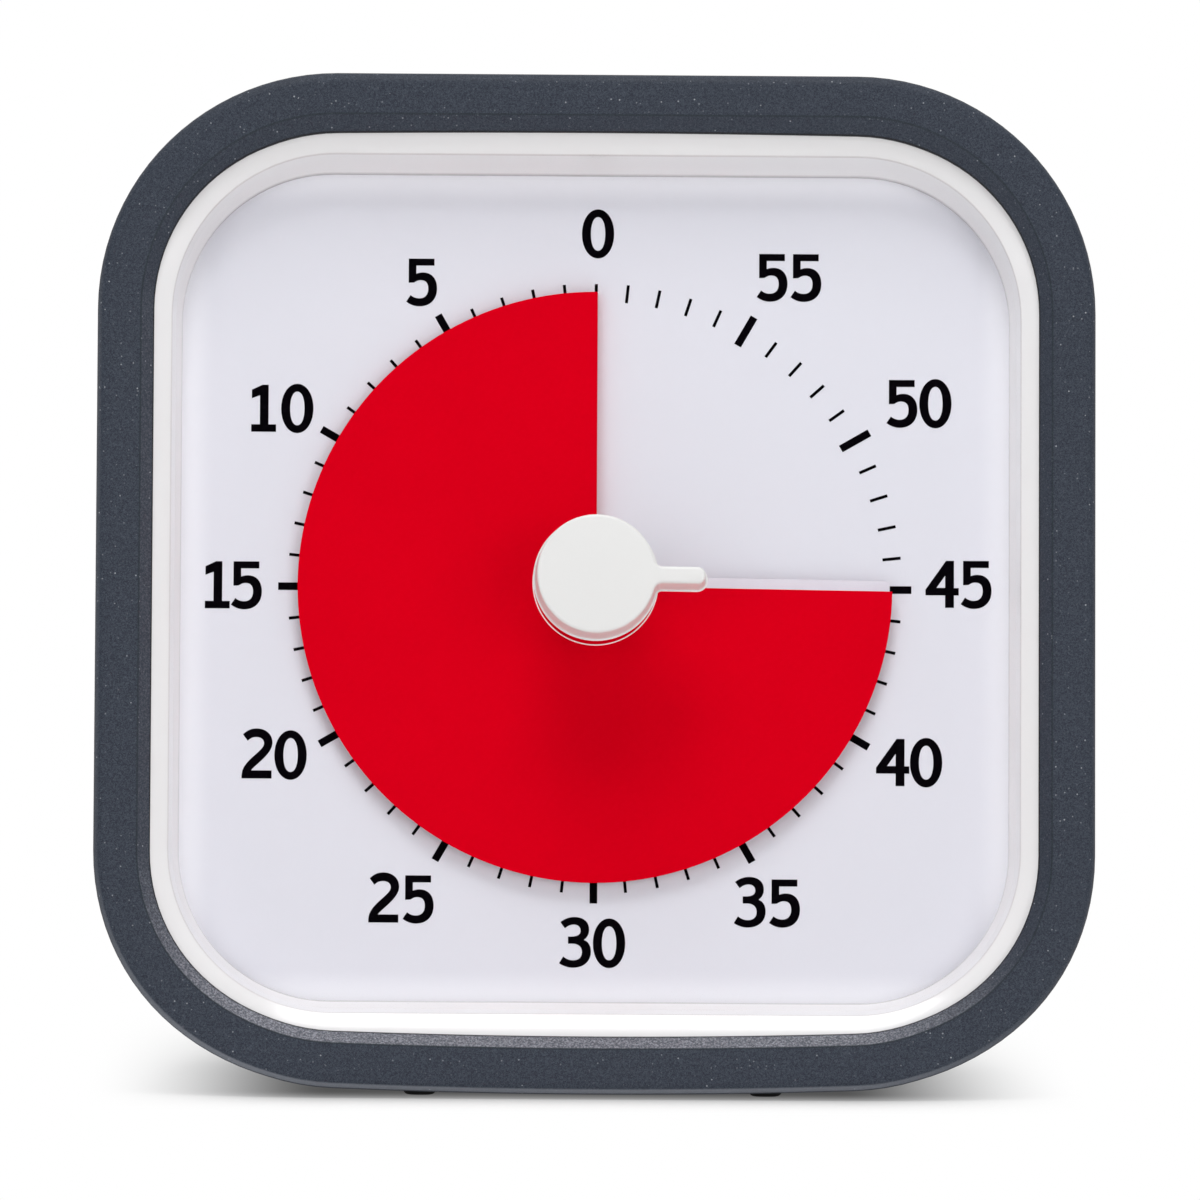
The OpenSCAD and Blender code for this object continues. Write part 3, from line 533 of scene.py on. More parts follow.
@dataclass(frozen=True)
class DialCard(Moulding):
    """Printed card, with painted light along its rim that lifts the shade of the frame's wall.

    Attributes:
        half: Half width and half height of the card that shows, in millimetres on the face.
        rim: How far in from the edge the painted light reaches.
    """

    half: Point2 = (38.25, 38.4)
    rim: float = 3.2

    def base(self, bench: Bench, place: Wire) -> Wire:
        """The colour, with painted light along the rim, where the frame's wall would shade it."""
        colour = super().base(bench, place)
        right, up, _ = bench.parts(bench.face_place(FACE))
        out = (right.size() - self.half[0]).at_least(up.size() - self.half[1])
        # Painted light: paler towards the rim, where the frame's wall shades the card.
        return bench.blend(out.rise(-self.rim, 0.0), colour, tone(246, 246, 253))


@dataclass(frozen=True)
class ClearSheet(Finish):
    """A clear pane: it mirrors more the flatter it is seen, and lets the rest straight through.

    Attributes:
        haze: Least share that shows as the pane's own colour.
    """

    haze: float = 0.02

    def lay_out(self, bench: Bench) -> None:
        """Adds the nodes."""
        place = bench.place()
        weight = bench.node("ShaderNodeLayerWeight", None, {"Blend": 0.5})
        facing = bench.wire(weight, "Facing")
        smear = bench.noise(place, 220, 2)
        bench.surface(
            Base_Color=self.colour,
            Metallic=1.0,
            Roughness=self.roughness + smear * 0.02,
            Alpha=self.haze + (1 - self.haze) * facing**5,
        )


@dataclass(frozen=True)
class ShadeCoverSheet(Finish):
    """Thin clear plastic, drawn pale and mostly solid: painted light over the shade that the film
    casts on the dial beneath it.

    Attributes:
        light_share: Share that shows as the sheet's own pale colour, painted light over the shade
            beneath it.
    """

    light_share: float = 0.5

    def lay_out(self, bench: Bench) -> None:
        """Adds the nodes."""
        cloud = bench.noise(bench.place(), 400, 2)
        # Painted light: the pale sheet hides the shade on the dial beneath it.
        bench.surface(
            Base_Color=self.colour,
            Roughness=self.roughness,
            Alpha=self.light_share + (cloud - 0.5) * 0.1,
        )


@dataclass(frozen=True)
class Film(Finish):
    """Glossy coloured sheet with a very faint ripple."""

    def lay_out(self, bench: Bench) -> None:
        """Adds the nodes."""
        place = bench.place()
        ripple = bench.noise(place, 130, 2)
        deep = tuple(channel * 0.94 for channel in self.colour)
        bench.surface(
            Base_Color=bench.blend(ripple, self.colour, deep),
            Roughness=self.roughness + ripple * 0.06,
            Specular_IOR_Level=0.0,
            Normal=bench.bump(ripple, 0.15, 0.00004),
        )


@dataclass(frozen=True)
class Metal(Finish):
    """Bare metal with fine marks.

    Attributes:
        marks: Marks in a metre.
    """

    marks: float = 1800.0

    def lay_out(self, bench: Bench) -> None:
        """Adds the nodes."""
        place = bench.place()
        marks = bench.noise(place, self.marks, 3)
        dull = tuple(channel * 0.8 for channel in self.colour)
        bench.surface(
            Base_Color=bench.blend(marks * 0.6, self.colour, dull),
            Metallic=1.0,
            Roughness=self.roughness + (marks - 0.5) * 0.2,
            Normal=bench.bump(marks, 0.2, 0.00001),
        )


@dataclass(frozen=True)
class Winding(Finish):
    """Fine wire wound round a bobbin, side by side."""

    def lay_out(self, bench: Bench) -> None:
        """Adds the nodes."""
        place = bench.place()
        values = {"Vector": place, "Scale": 900.0, "Distortion": 0.6}
        wave = bench.wire(bench.node("ShaderNodeTexWave", {"bands_direction": "Z"}, values), 1)
        dark = tuple(channel * 0.45 for channel in self.colour)
        bench.surface(
            Base_Color=bench.blend(wave, dark, self.colour),
            Metallic=0.9,
            Roughness=self.roughness,
            Normal=bench.bump(wave, 0.6, 0.0001),
        )


@dataclass(frozen=True)
class Board(Finish):
    """Varnished circuit board with tracks under the varnish."""

    def lay_out(self, bench: Bench) -> None:
        """Adds the nodes."""
        place = bench.place()
        cells = bench.cells(place, 420, "DISTANCE_TO_EDGE")
        track = 1 - bench.wire(cells, "Distance").rise(0.05, 0.09)
        bench.surface(
            Base_Color=bench.blend(track * 0.7, self.colour, tone(46, 122, 74)),
            Roughness=self.roughness,
            Normal=bench.bump(track, 0.4, 0.00003),
        )


@dataclass(frozen=True)
class Wrap(Finish):
    """Printed sleeve of a cell, with a plain band near one end.

    Attributes:
        band: Colour of the band.
        band_from: Where the band starts, in metres along x.
    """

    band: Colour = (0.5, 0.5, 0.5)
    band_from: float = 0.012

    def lay_out(self, bench: Bench) -> None:
        """Adds the nodes."""
        place = bench.place()
        along = bench.parts(place)[0]
        scuff = bench.noise(place, 400, 3)
        body = bench.blend(scuff * 0.2, self.colour, tone(70, 74, 80))
        bench.surface(
            Base_Color=bench.blend(along.over(self.band_from), body, self.band),
            Roughness=self.roughness + (scuff - 0.5) * 0.1,
            Normal=bench.bump(scuff, 0.1, 0.00002),
        )


SLATE = Silicone("slate_silicone", tone(31, 38, 52))
FRAME_WHITE = BezelWhite("frame_white", tone(240, 239, 240), 0.22, 0.000006, 500, 0.01, 0.3)
CASE_WHITE = Moulding("case_white", tone(232, 232, 230), 0.42, 0.00002, 1600)
KNOB_WHITE = Moulding("knob_white", tone(232, 232, 231), 0.32, 0.000008, 700, 0.01)
CARD = DialCard("dial_card", tone(226, 226, 235), 0.6, 0.000004, 900, 0.01)
INK = Moulding("print_ink", tone(8, 6, 10), 0.55, 0.000004, 900, 0.05, 0.0, 0.0)
PANE = ClearSheet("clear_pane", (1, 1, 1), 0.03, 0.001)
RED = Film("red_film", tone(218, 0, 25), 0.4)
# Pale, mostly solid strip: painted light over the shade beneath it.
STRIP = ShadeCoverSheet("clear_strip", tone(240, 236, 246), 0.25, 0.72)
PANE_EDGE = Moulding("pane_edge", tone(250, 244, 244), 0.25, 0.000004, 900, 0.02)
RUBBER = Moulding("foot_rubber", tone(16, 16, 17), 0.7, 0.00003, 2500, 0.2)
BLACK = Moulding("black_plastic", tone(26, 26, 28), 0.45, 0.00002, 1800, 0.1)
GREY = Moulding("inner_plastic", tone(176, 180, 184), 0.5, 0.00002, 1400)
NATURAL = Moulding("wheel_plastic", tone(222, 216, 198), 0.45, 0.00001, 1500)
DARK = Moulding("dark_plastic", tone(52, 55, 60), 0.5, 0.00002, 1500, 0.08)
STEEL = Metal("bright_steel", tone(196, 198, 200), 0.3)
MAGNET = Metal("sintered_magnet", tone(70, 70, 74), 0.55, 2600)
COPPER = Winding("copper_wire", tone(184, 104, 62), 0.35)
GREEN = Board("green_board", tone(24, 82, 48), 0.35)
CELL = Wrap("cell_wrap", tone(38, 62, 104), 0.35, tone(198, 200, 202), 0.016)


# ---------------------------------------------------------------- mesh work


def arc(centre: Point2, radius: float, start: float, end: float, steps: int) -> list[Point2]:
    """Points along an arc.

    Args:
        centre: Centre of the arc.
        radius: Its radius.
        start: Angle of the first point, in degrees.
        end: Angle of the last point, in degrees.
        steps: Number of chords.

    Returns:
        The points, both ends included.
    """
    made = []
    for step in range(steps + 1):
        angle = math.radians(start + (end - start) * step / steps)
        made.append((centre[0] + radius * math.cos(angle), centre[1] + radius * math.sin(angle)))
    return made


def around(spot: Point2, offsets: Iterable[Point2]) -> list[Point2]:
    """Points at small offsets from one spot."""
    return [(spot[0] + right, spot[1] + up) for right, up in offsets]


def rounded_face(bm: bmesh.types.BMesh, ring: Ring) -> bmesh.types.BMFace:
    """Adds a filled rounded rectangle.

    Args:
        bm: The mesh to add to.
        ring: Its size and place.

    Returns:
        The face.
    """
    verts = bmesh.ops.create_grid(bm, x_segments=1, y_segments=1, size=1)["verts"]
    reach = Vector((ring.core_x + ring.radius, ring.core_y + ring.radius, 1))
    bmesh.ops.scale(bm, vec=reach, verts=verts)
    bmesh.ops.translate(bm, vec=(0, 0, ring.z), verts=verts)
    made = bmesh.ops.bevel(
        bm,
        geom=verts,
        offset=ring.radius,
        offset_type="OFFSET",
        affect="VERTICES",
        segments=CORNER_STEPS,
        profile=0.5,
        material=-1,
        clamp_overlap=False,
    )
    return max(made["verts"][0].link_faces, key=lambda face: len(face.verts))


def sweep(
    bm: bmesh.types.BMesh,
    start: bmesh.types.BMFace,
    stations: Sequence[Sequence[Vector]],
    closed: bool,
) -> None:
    """Extrudes a face's outline from station to station.

    Args:
        bm: The mesh to add to.
        start: The face at the first station.
        stations: Places of the outline's points at each later station, in the face's own order.
        closed: Joins the last station to the first and drops the start face; otherwise both
            ends stay closed by a flat face.
    """
    order = {vert: number for number, vert in enumerate(start.verts)}
    edges = list(start.edges)
    route = list(stations)
    if closed:
        route.append([vert.co.copy() for vert in start.verts])
        bmesh.ops.delete(bm, geom=[start], context="FACES_ONLY")
    for places in route:
        made = bmesh.ops.extrude_edge_only(bm, edges=edges)["geom"]
        fresh = {}
        for vert in (item for item in made if isinstance(item, bmesh.types.BMVert)):
            olds = (edge.other_vert(vert) for edge in vert.link_edges)
            fresh[vert] = next(order[old] for old in olds if old in order)
        for vert, number in fresh.items():
            vert.co = places[number]
        order = fresh
        edges = [
            item
            for item in made
            if isinstance(item, bmesh.types.BMEdge) and all(v in fresh for v in item.verts)
        ]
    if closed:
        bmesh.ops.remove_doubles(bm, verts=bm.verts, dist=HAIR)
    else:
        bmesh.ops.contextual_create(bm, geom=edges)
    bmesh.ops.recalc_face_normals(bm, faces=bm.faces)


def sweep_rings(bm: bmesh.types.BMesh, rings: Sequence[Ring], closed: bool) -> None:
    """Builds a wall through a row of rounded rectangles.

    Args:
        bm: The mesh to add to.
        rings: The rectangles, in order round the wall's section.
        closed: Joins the last to the first; otherwise both ends get a flat face.
    """
    first = rings[0]
    face = rounded_face(bm, first)
    ways = []
    for vert in face.verts:
        side = Vector((math.copysign(1, vert.co.x), math.copysign(1, vert.co.y), 0))
        core = Vector((side.x * first.core_x, side.y * first.core_y, first.z))
        ways.append((side, (vert.co - core) / first.radius))
    stations = []
    for ring in rings[1:]:
        core = Vector((ring.core_x, ring.core_y, 0))
        lift = Vector((0, 0, ring.z))
        stations.append([side * core + way * ring.radius + lift for side, way in ways])
    sweep(bm, face, stations, closed)


def fill_outline(bm: bmesh.types.BMesh, points: Iterable[Point2], z: float) -> bmesh.types.BMFace:
    """Adds a flat face with the given outline.

    Args:
        bm: The mesh to add to.
        points: Its outline, anticlockwise.
        z: Its height.

    Returns:
        The face.
    """
    return bm.faces.new([bm.verts.new((x, y, z)) for x, y in points])


def soften(
    bm: bmesh.types.BMesh, edges: Iterable[bmesh.types.BMEdge], width: float, steps: int
) -> None:
    """Rounds edges off.

    Args:
        bm: The mesh.
        edges: The edges to round.
        width: How far the rounding reaches.
        steps: Facets across it.
    """
    bmesh.ops.bevel(
        bm,
        geom=list(edges),
        offset=width,
        offset_type="OFFSET",
        affect="EDGES",
        segments=steps,
        profile=0.5,
        material=-1,
        clamp_overlap=True,
    )


def block(
    bm: bmesh.types.BMesh, size: Sequence[float], middle: Sequence[float]
) -> list[bmesh.types.BMVert]:
    """Adds a box.

    Args:
        bm: The mesh to add to.
        size: Its length along each axis.
        middle: Its middle.

    Returns:
        Its corners.
    """
    verts = bmesh.ops.create_cube(bm, size=1)["verts"]
    bmesh.ops.scale(bm, vec=size, verts=verts)
    bmesh.ops.translate(bm, vec=middle, verts=verts)
    return verts


def add_object(name: str, data: bpy.types.ID) -> bpy.types.Object:
    """Puts a mesh, curve, camera or light into the scene.

    Args:
        name: Name of the object.
        data: What it holds.

    Returns:
        The object.
    """
    made = bpy.data.objects.new(name, data)
    bpy.context.scene.collection.objects.link(made)
    return made


class Workshop:
    """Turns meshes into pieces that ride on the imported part."""

    def __init__(self, face: FaceFrame) -> None:
        """Holds the dial's frame."""
        self.face = face

    def piece(
        self,
        bm: bmesh.types.BMesh,
        name: str,
        finish: Finish,
        body: Body,
        slot: str,
        replaces: Sequence[str] = (),
        place: Matrix | None = None,
        crease: float = 32.0,
    ) -> bpy.types.Object:
        """Ends a mesh as a piece.

        Args:
            bm: The mesh, in millimetres on the face unless place is given.
            name: The piece's name.
            finish: What it is dressed in.
            body: The body that it rides on.
            slot: The record's material slot; not used.
            replaces: The nodes that it stands for.
            place: Takes the mesh into the room, instead of the dial's frame.
            crease: Edges sharper than this angle, in degrees, stay sharp.

        Returns:
            The piece.
        """
        bmesh.ops.transform(bm, matrix=place or self.face.matrix, verts=bm.verts)
        mesh = bpy.data.meshes.new(name)
        bm.to_mesh(mesh)
        bm.free()
        mesh.polygons.foreach_set("use_smooth", [True] * len(mesh.polygons))
        mesh.set_sharp_from_angle(angle=math.radians(crease))
        made = add_object(name, mesh)
        made.data.materials.append(finish.material())
        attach(made, body.value)
        if replaces:
            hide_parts(*replaces)
        LOG.info("%s: %d faces, on %s", name, len(mesh.polygons), body.value)
        return made


# ---------------------------------------------------------------- sub-assemblies


@dataclass
class Sleeve:
    """Soft sleeve round the case, in millimetres on the face.

    Attributes:
        core_x: Half width through the corner arcs' centres.
        core_y: Half height through them.
        front_z: Height of the front lip's face.
        sharp_r: Corner radius of the drafted wall at the front, before its edge is rounded.
        draft: Slope of the walls.
        edge_r: Rounding of the front edge.
        rear_r: Rounding of the rear edge.
        wall: Wall and its gap to the case.
        seat_z: Underside of the front lip.
        opening_r: Corner radius of the opening.
        bevel_w: Width of the bevel round the opening.
        lip_edge: Thickness of the lip at the opening.
        rear_z: The sleeve's back.
        rear_lip_t: Thickness of the rear lip.
        rear_opening_r: Corner radius of the rear opening.
        opening_round: Offsets, as radius and height, that round the lip's edge at the opening.
        crease_round: The same at the bevel's top.
        rear_round: The same at the rear opening.
        flat_end: How far the flat front ends before its edge is rounded.
        arc_steps: Facets of each rounded edge.
        sag: How far the front's lower side hangs down in the middle, at the opening and outside.
        crown: How fast that side rises from the middle, per millimetre squared, at both places.
        brow: How far the opening's upper side hangs down in the middle, and how much more it
            does per millimetre squared from there.
        brow_lift: How far the crease above it is raised.
        crown_end: Distances from the middle between which the rise ends in the corners.
        crown_z: Height behind which the lower side is straight.
        crown_cuts: Cuts along each level side.
        level_min: Edges that reach further across than this are level sides.
        sheen_way: Direction of the part of the bevel that is lit most from above, where the painted
            sheen is strongest, in degrees.
    """

    core_x: float = 24.0
    core_y: float = 25.1
    front_z: float = 6.4
    sharp_r: float = 22.171
    draft: float = 0.158384
    edge_r: float = 1.0
    rear_r: float = 3.0
    wall: float = 2.2
    seat_z: float = 5.0
    opening_r: float = 16.8
    bevel_w: float = 1.2
    lip_edge: float = 0.35
    rear_z: float = -37.1
    rear_lip_t: float = 1.5
    rear_opening_r: float = 9.83
    opening_round: tuple[Point2, ...] = ((0.0, -0.06), (0.05, 0.03))
    crease_round: tuple[Point2, ...] = ((-0.12, -0.1), (-0.05, -0.03), (0.05, 0.0))
    rear_round: tuple[Point2, ...] = ((0.2, 0.0), (0.05, 0.05), (0.0, 0.2))
    flat_end: float = 0.4
    arc_steps: int = 10
    sag: Point2 = (0.08, 0.23)
    crown: Point2 = (0.0007, 0.0008)
    brow: Point2 = (0.17, 0.0003)
    brow_lift: float = 0.15
    crown_end: Point2 = (30.0, 45.0)
    crown_z: float = -12.0
    crown_cuts: int = 15
    level_min: float = 40.0
    sheen_way: float = 250.0

    def wall_r(self, z: float) -> float:
        """Corner radius of the outer wall at a height."""
        return self.sharp_r - (self.front_z - z) * self.draft

    def section(self) -> list[Point2]:
        """The wall's section as (corner radius, height), from the opening round to the inside."""
        lean = math.degrees(math.atan(self.draft))
        crease_r = self.opening_r + self.bevel_w
        inward = self.edge_r * math.tan(math.radians(45 + lean / 2))
        edge_c = (self.wall_r(self.front_z) - inward, self.front_z - self.edge_r)
        rear_c_z = self.rear_z + self.rear_r
        reach = self.rear_r / math.cos(math.radians(lean))
        rear_c = (self.wall_r(rear_c_z) - reach, rear_c_z)
        slope_z = self.seat_z + self.lip_edge
        return [
            (self.opening_r, self.seat_z),
            *around((self.opening_r, slope_z), self.opening_round),
            *around((crease_r, self.front_z), self.crease_round),
            (edge_c[0] - self.flat_end, self.front_z),
            *arc(edge_c, self.edge_r, 90, -lean, self.arc_steps),
            *arc(rear_c, self.rear_r, -lean, -90, self.arc_steps),
            *around((self.rear_opening_r, self.rear_z), self.rear_round),
            (self.rear_opening_r, self.rear_z + self.rear_lip_t),
            (self.wall_r(self.rear_z + self.rear_lip_t) - self.wall, self.rear_z + self.rear_lip_t),
            (self.wall_r(self.seat_z) - self.wall, self.seat_z),
        ]

    def over(self, point: Vector) -> Vector:
        """How far a point lies outside the corner arcs' centres, across and up."""
        across = math.copysign(max(0.0, abs(point.x) - self.core_x), point.x)
        up = math.copysign(max(0.0, abs(point.y) - self.core_y), point.y)
        return Vector((across, up, 0))

    def note_places(self, bm: bmesh.types.BMesh) -> None:
        """Notes each point's corner radius, and how much its direction is turned to the light,
        which weights the painted sheen.
        """
        reach = bm.verts.layers.float.new("reach")
        ledge = bm.verts.layers.float.new("ledge")
        turn = math.radians(self.sheen_way)
        way = Vector((math.cos(turn), math.sin(turn), 0))
        for vert in bm.verts:
            over = self.over(vert.co)
            vert[reach] = over.length
            vert[ledge] = max(0.0, over.normalized().dot(way)) ** 2

    def hang(self, bm: bmesh.types.BMesh) -> None:
        """Lets the lower side of the front, and the upper side of its opening, hang a little."""
        level = [
            edge
            for edge in bm.edges
            if abs(edge.verts[0].co.x - edge.verts[1].co.x) > self.level_min
        ]
        bmesh.ops.subdivide_edges(bm, edges=level, cuts=self.crown_cuts, use_grid_fill=True)
        edge_r = self.wall_r(self.front_z)
        for vert in bm.verts:
            over = self.over(vert.co)
            outer = over.length > self.wall_r(vert.co.z) - self.wall / 2
            outer = outer or vert.co.z > self.seat_z - TOUCH
            if over.y == 0 or not outer:
                continue
            near, far = self.crown_end
            end = 1 - min(1.0, max(0.0, (abs(vert.co.x) - near) / (far - near)))
            if over.y > 0:
                rest = (over.length - self.opening_r) / self.bevel_w
                drop = (self.brow[0] + self.brow[1] * vert.co.x**2) * max(0.0, 1 - rest)
                lift = self.brow_lift * max(0.0, 1 - abs(rest - 1))
                vert.co.y += (lift - drop) * end * over.y / over.length
                continue
            share = min(1.0, max(0.0, (over.length - self.opening_r) / (edge_r - self.opening_r)))
            sag, crown = (low + (high - low) * share for low, high in (self.sag, self.crown))
            depth = min(1.0, max(0.0, (vert.co.z - self.crown_z) / (self.seat_z - self.crown_z)))
            vert.co.y += (crown * vert.co.x**2 - sag) * end * depth * -over.y / over.length

    def build(self, shop: Workshop) -> None:
        """Builds the sleeve."""
        bm = bmesh.new()
        rings = [Ring(self.core_x, self.core_y, r, z) for r, z in self.section()]
        sweep_rings(bm, rings, closed=True)
        self.note_places(bm)
        self.hang(bm)
        shop.piece(bm, "sleeve", SLATE, Body.CASE, "sleeve", ["silicone_cover"])


@dataclass
class Frame:
    """Glossy front frame, in millimetres on the face.

    Attributes:
        core_x: Half width through the corner arcs' centres.
        core_y: Half height through them.
        rim_z: Height of the rim.
        rim_r: Corner radius of the skirt at the rim.
        draft: Slope of the skirt.
        split_z: Where the skirt meets the rear case.
        wall: Thickness of the skirt.
        top_r: Corner radius at the top of the outer slope.
        crease: Width, height and corner radius at the foot of the outer slope.
        crease_z: Height at the foot of the outer slope.
        window: Width, height and corner radius of the dial that shows.
        lip_t: Thickness of the inner lip over the dial.
        rim_edge: Rounding between the rim and the outer slope.
        slope_ends: Shares of the outer slope between which it runs straight.
        slope_round: Height of the roundings at its ends.
        crease_round: Depths below the crease at which its rounding ends and the wall starts.
        foot_round: Height above the lip at which the wall ends.
        lip_edge: Offset, as radius and height, of the loop that keeps the lip's edge crisp.
        pane_low: Height of the pane's underside.
        pane_top: Height of the pane's face.
        lap: How far the dial's seat reaches behind the inner lip.
        ledge_z: Height of the ledge behind the dial's seat.
        pane_gap: Gap round the pane.
        pane_bevel: Bevel of the pane's edges.
        hole_r: Radius of the pane's hole.
        hole_steps: Facets round the hole.
        rim_t: Thickness of the hole's polished rim.
    """

    core_x: float = 24.0
    core_y: float = 25.1
    rim_z: float = 4.9
    rim_r: float = 19.634
    draft: float = 0.158384
    split_z: float = -8.0
    wall: float = 1.5
    top_r: float = 16.9
    crease: tuple[float, float, float] = (78.4, 79.7, 15.2)
    crease_z: float = 4.0
    window: tuple[float, float, float] = (76.5, 76.8, 13.9)
    lip_t: float = 0.3
    rim_edge: float = 0.12
    slope_ends: Point2 = (0.06, 0.96)
    slope_round: float = 0.05
    crease_round: Point2 = (0.03, 0.15)
    foot_round: float = 0.15
    lip_edge: Point2 = (0.01, 0.05)
    pane_low: float = 2.7
    pane_top: float = 4.3
    lap: float = 0.85
    ledge_z: float = -3.0
    pane_gap: float = 0.05
    pane_bevel: float = 0.12
    hole_r: float = 5.75
    hole_steps: int = 128
    rim_t: float = 0.12

    def window_ring(self, z: float, gap: float) -> Ring:
        """The inner wall at a height, drawn in by a gap."""
        share = (z - self.lip_t) / (self.crease_z - self.lip_t)
        width, height, radius = (
            low + share * (high - low) for low, high in zip(self.window, self.crease)
        )
        return Ring.of_size(width - 2 * gap, height - 2 * gap, radius - gap, z)

    def slope_ring(self, share: float, z: float) -> Ring:
        """A ring of the outer slope, from its foot at 0 to its top at 1."""
        foot, top = Ring.of_size(*self.crease, z), self.core_ring(self.top_r, z)
        pairs = ((foot.core_x, top.core_x), (foot.core_y, top.core_y), (foot.radius, top.radius))
        return Ring(*(low + share * (high - low) for low, high in pairs), z)

    def core_ring(self, radius: float, z: float) -> Ring:
        """A ring about the case's own corner centres."""
        return Ring(self.core_x, self.core_y, radius, z)

    def build(self, shop: Workshop) -> None:
        """Builds the frame and its pane."""
        skirt_r = self.rim_r - (self.rim_z - self.split_z) * self.draft
        inner = self.window_ring(self.lip_t, 0)
        width, height, radius = self.window
        under = Ring.of_size(width + 2 * self.lap, height + 2 * self.lap, radius + self.lap, 0)
        rings = [
            self.core_ring(skirt_r, self.split_z),
            self.core_ring(self.rim_r, self.rim_z),
            self.core_ring(self.top_r + self.rim_edge, self.rim_z),
            self.slope_ring(self.slope_ends[1], self.rim_z - self.slope_round),
            self.slope_ring(self.slope_ends[0], self.crease_z + self.slope_round),
            self.slope_ring(0.0, self.crease_z - self.crease_round[0]),
            self.window_ring(self.crease_z - self.crease_round[1], 0),
            self.window_ring(self.lip_t + self.foot_round, 0),
            Ring(
                inner.core_x,
                inner.core_y,
                inner.radius + self.lip_edge[0],
                self.lip_t + self.lip_edge[1],
            ),
            self.window_ring(self.lip_t, 0),
            Ring(inner.core_x, inner.core_y, inner.radius, 0.0),
            under,
            Ring(under.core_x, under.core_y, under.radius, self.ledge_z),
            self.core_ring(skirt_r - self.wall, self.ledge_z),
            self.core_ring(skirt_r - self.wall, self.split_z),
        ]
        bm = bmesh.new()
        sweep_rings(bm, rings, closed=True)
        shop.piece(bm, "front_bezel", FRAME_WHITE, Body.CASE, "white_gloss", ["front_frame"])
        self.build_pane(shop)

    def build_pane(self, shop: Workshop) -> None:
        """Builds the clear pane with its round hole."""
        bm = bmesh.new()
        rings = [self.window_ring(self.pane_low, self.pane_gap)]
        rings.append(self.window_ring(self.pane_top - self.pane_bevel, self.pane_gap))
        rings.append(self.window_ring(self.pane_top, self.pane_gap + self.pane_bevel))
        sweep_rings(bm, rings, closed=False)
        caps = [face for face in bm.faces if len(face.verts) > CAP_SIDES]
        rims = [edge for face in caps for edge in face.edges]
        bmesh.ops.delete(bm, geom=caps, context="FACES_ONLY")
        hole = bmesh.ops.create_circle(
            bm, cap_ends=True, segments=self.hole_steps, radius=self.hole_r
        )
        bmesh.ops.translate(bm, vec=(0, 0, self.pane_low), verts=hole["verts"])
        start = hole["verts"][0].link_faces[0]
        rims += list(start.edges)
        levels = ((self.pane_top - self.pane_bevel, 0.0), (self.pane_top, self.pane_bevel))
        stations = []
        for z, wider in levels:
            grown = 1 + wider / self.hole_r
            stations.append([Vector((v.co.x * grown, v.co.y * grown, z)) for v in start.verts])
        sweep(bm, start, stations, closed=False)
        caps = [face for face in bm.faces if len(face.verts) > CAP_SIDES]
        rims += [edge for face in caps for edge in face.edges if edge not in rims]
        bmesh.ops.delete(bm, geom=caps, context="FACES_ONLY")
        for z in (self.pane_low, self.pane_top):
            flat = [e for e in set(rims) if all(abs(v.co.z - z) < TOUCH for v in e.verts)]
            bmesh.ops.triangle_fill(bm, use_beauty=True, use_dissolve=False, edges=flat)
        bmesh.ops.recalc_face_normals(bm, faces=bm.faces)
        shop.piece(bm, "pane", PANE, Body.CASE, "lens_clear", ["lens"])
        self.build_pane_rim(shop)

    def build_pane_rim(self, shop: Workshop) -> None:
        """Builds the bright polished rim of the pane's hole."""
        bm = bmesh.new()
        ring = bmesh.ops.create_circle(bm, cap_ends=False, segments=8, radius=self.rim_t / 2)
        turn = Matrix.Rotation(math.radians(90), 3, "X")
        bmesh.ops.rotate(bm, cent=(0, 0, 0), matrix=turn, verts=ring["verts"])
        spot = (self.hole_r, 0, self.pane_top - self.rim_t / 2)
        bmesh.ops.translate(bm, vec=spot, verts=ring["verts"])
        bmesh.ops.spin(
            bm,
            geom=[*bm.verts, *bm.edges],
            cent=(0, 0, 0),
            axis=(0, 0, 1),
            angle=math.tau,
            steps=self.hole_steps,
            use_merge=True,
        )
        bmesh.ops.recalc_face_normals(bm, faces=bm.faces)
        shop.piece(bm, "pane_rim", PANE_EDGE, Body.CASE, "lens_clear")


GLYPHS = {
    "0": (
        "M148,445 C231,445 296,349 296,217 C296,85 231,-11 148,-11 C65,-11 0,85 0,217 "
        "C0,349 65,445 148,445 Z M148,373 C188,373 214,314 214,217 C214,120 188,61 148,61 "
        "C108,61 82,120 82,217 C82,314 108,373 148,373 Z"
    ),
    "1": "M0,0 L228,0 L228,68 L158,68 L158,434 L101,434 L4,388 L4,309 L79,337 L79,68 L0,68 Z",
    "2": (
        "M0,0 L274,0 L274,74 L86,74 C120,125 281,225 281,327 C281,410 218,460 134,460 "
        "C85,460 45,440 11,405 L54,346 C78,370 102,381 130,381 C180,381 204,358 204,320 "
        "C204,250 0,165 0,30 Z"
    ),
    "3": (
        "M0,32 C35,8 80,-9 127,-9 C225,-9 291,50 291,138 C291,200 262,235 226,247 "
        "C258,270 274,300 274,341 C274,415 220,456 141,456 C90,456 45,438 11,409 L53,352 "
        "C78,375 105,387 135,387 C172,387 196,365 196,330 C196,295 165,277 112,277 L81,277 "
        "L81,212 L119,212 C175,212 209,185 209,135 C209,85 178,59 127,59 C92,59 60,75 38,94 Z"
    ),
    "4": (
        "M0,115 L0,168 L188,434 L261,434 L261,182 L305,182 L305,115 L261,115 L261,0 L180,0 "
        "L180,115 Z M180,297 L180,184 L101,184 Z"
    ),
    "5": (
        "M0,35 C35,8 75,-8 121,-8 C215,-8 283,52 283,157 C283,250 233,306 155,306 "
        "C132,306 112,302 92,294 L92,370 L258,370 L258,434 L22,434 L22,210 L70,212 "
        "C88,222 105,235 132,235 C180,235 202,208 202,155 C202,100 172,66 121,66 "
        "C88,66 62,77 40,96 Z"
    ),
}


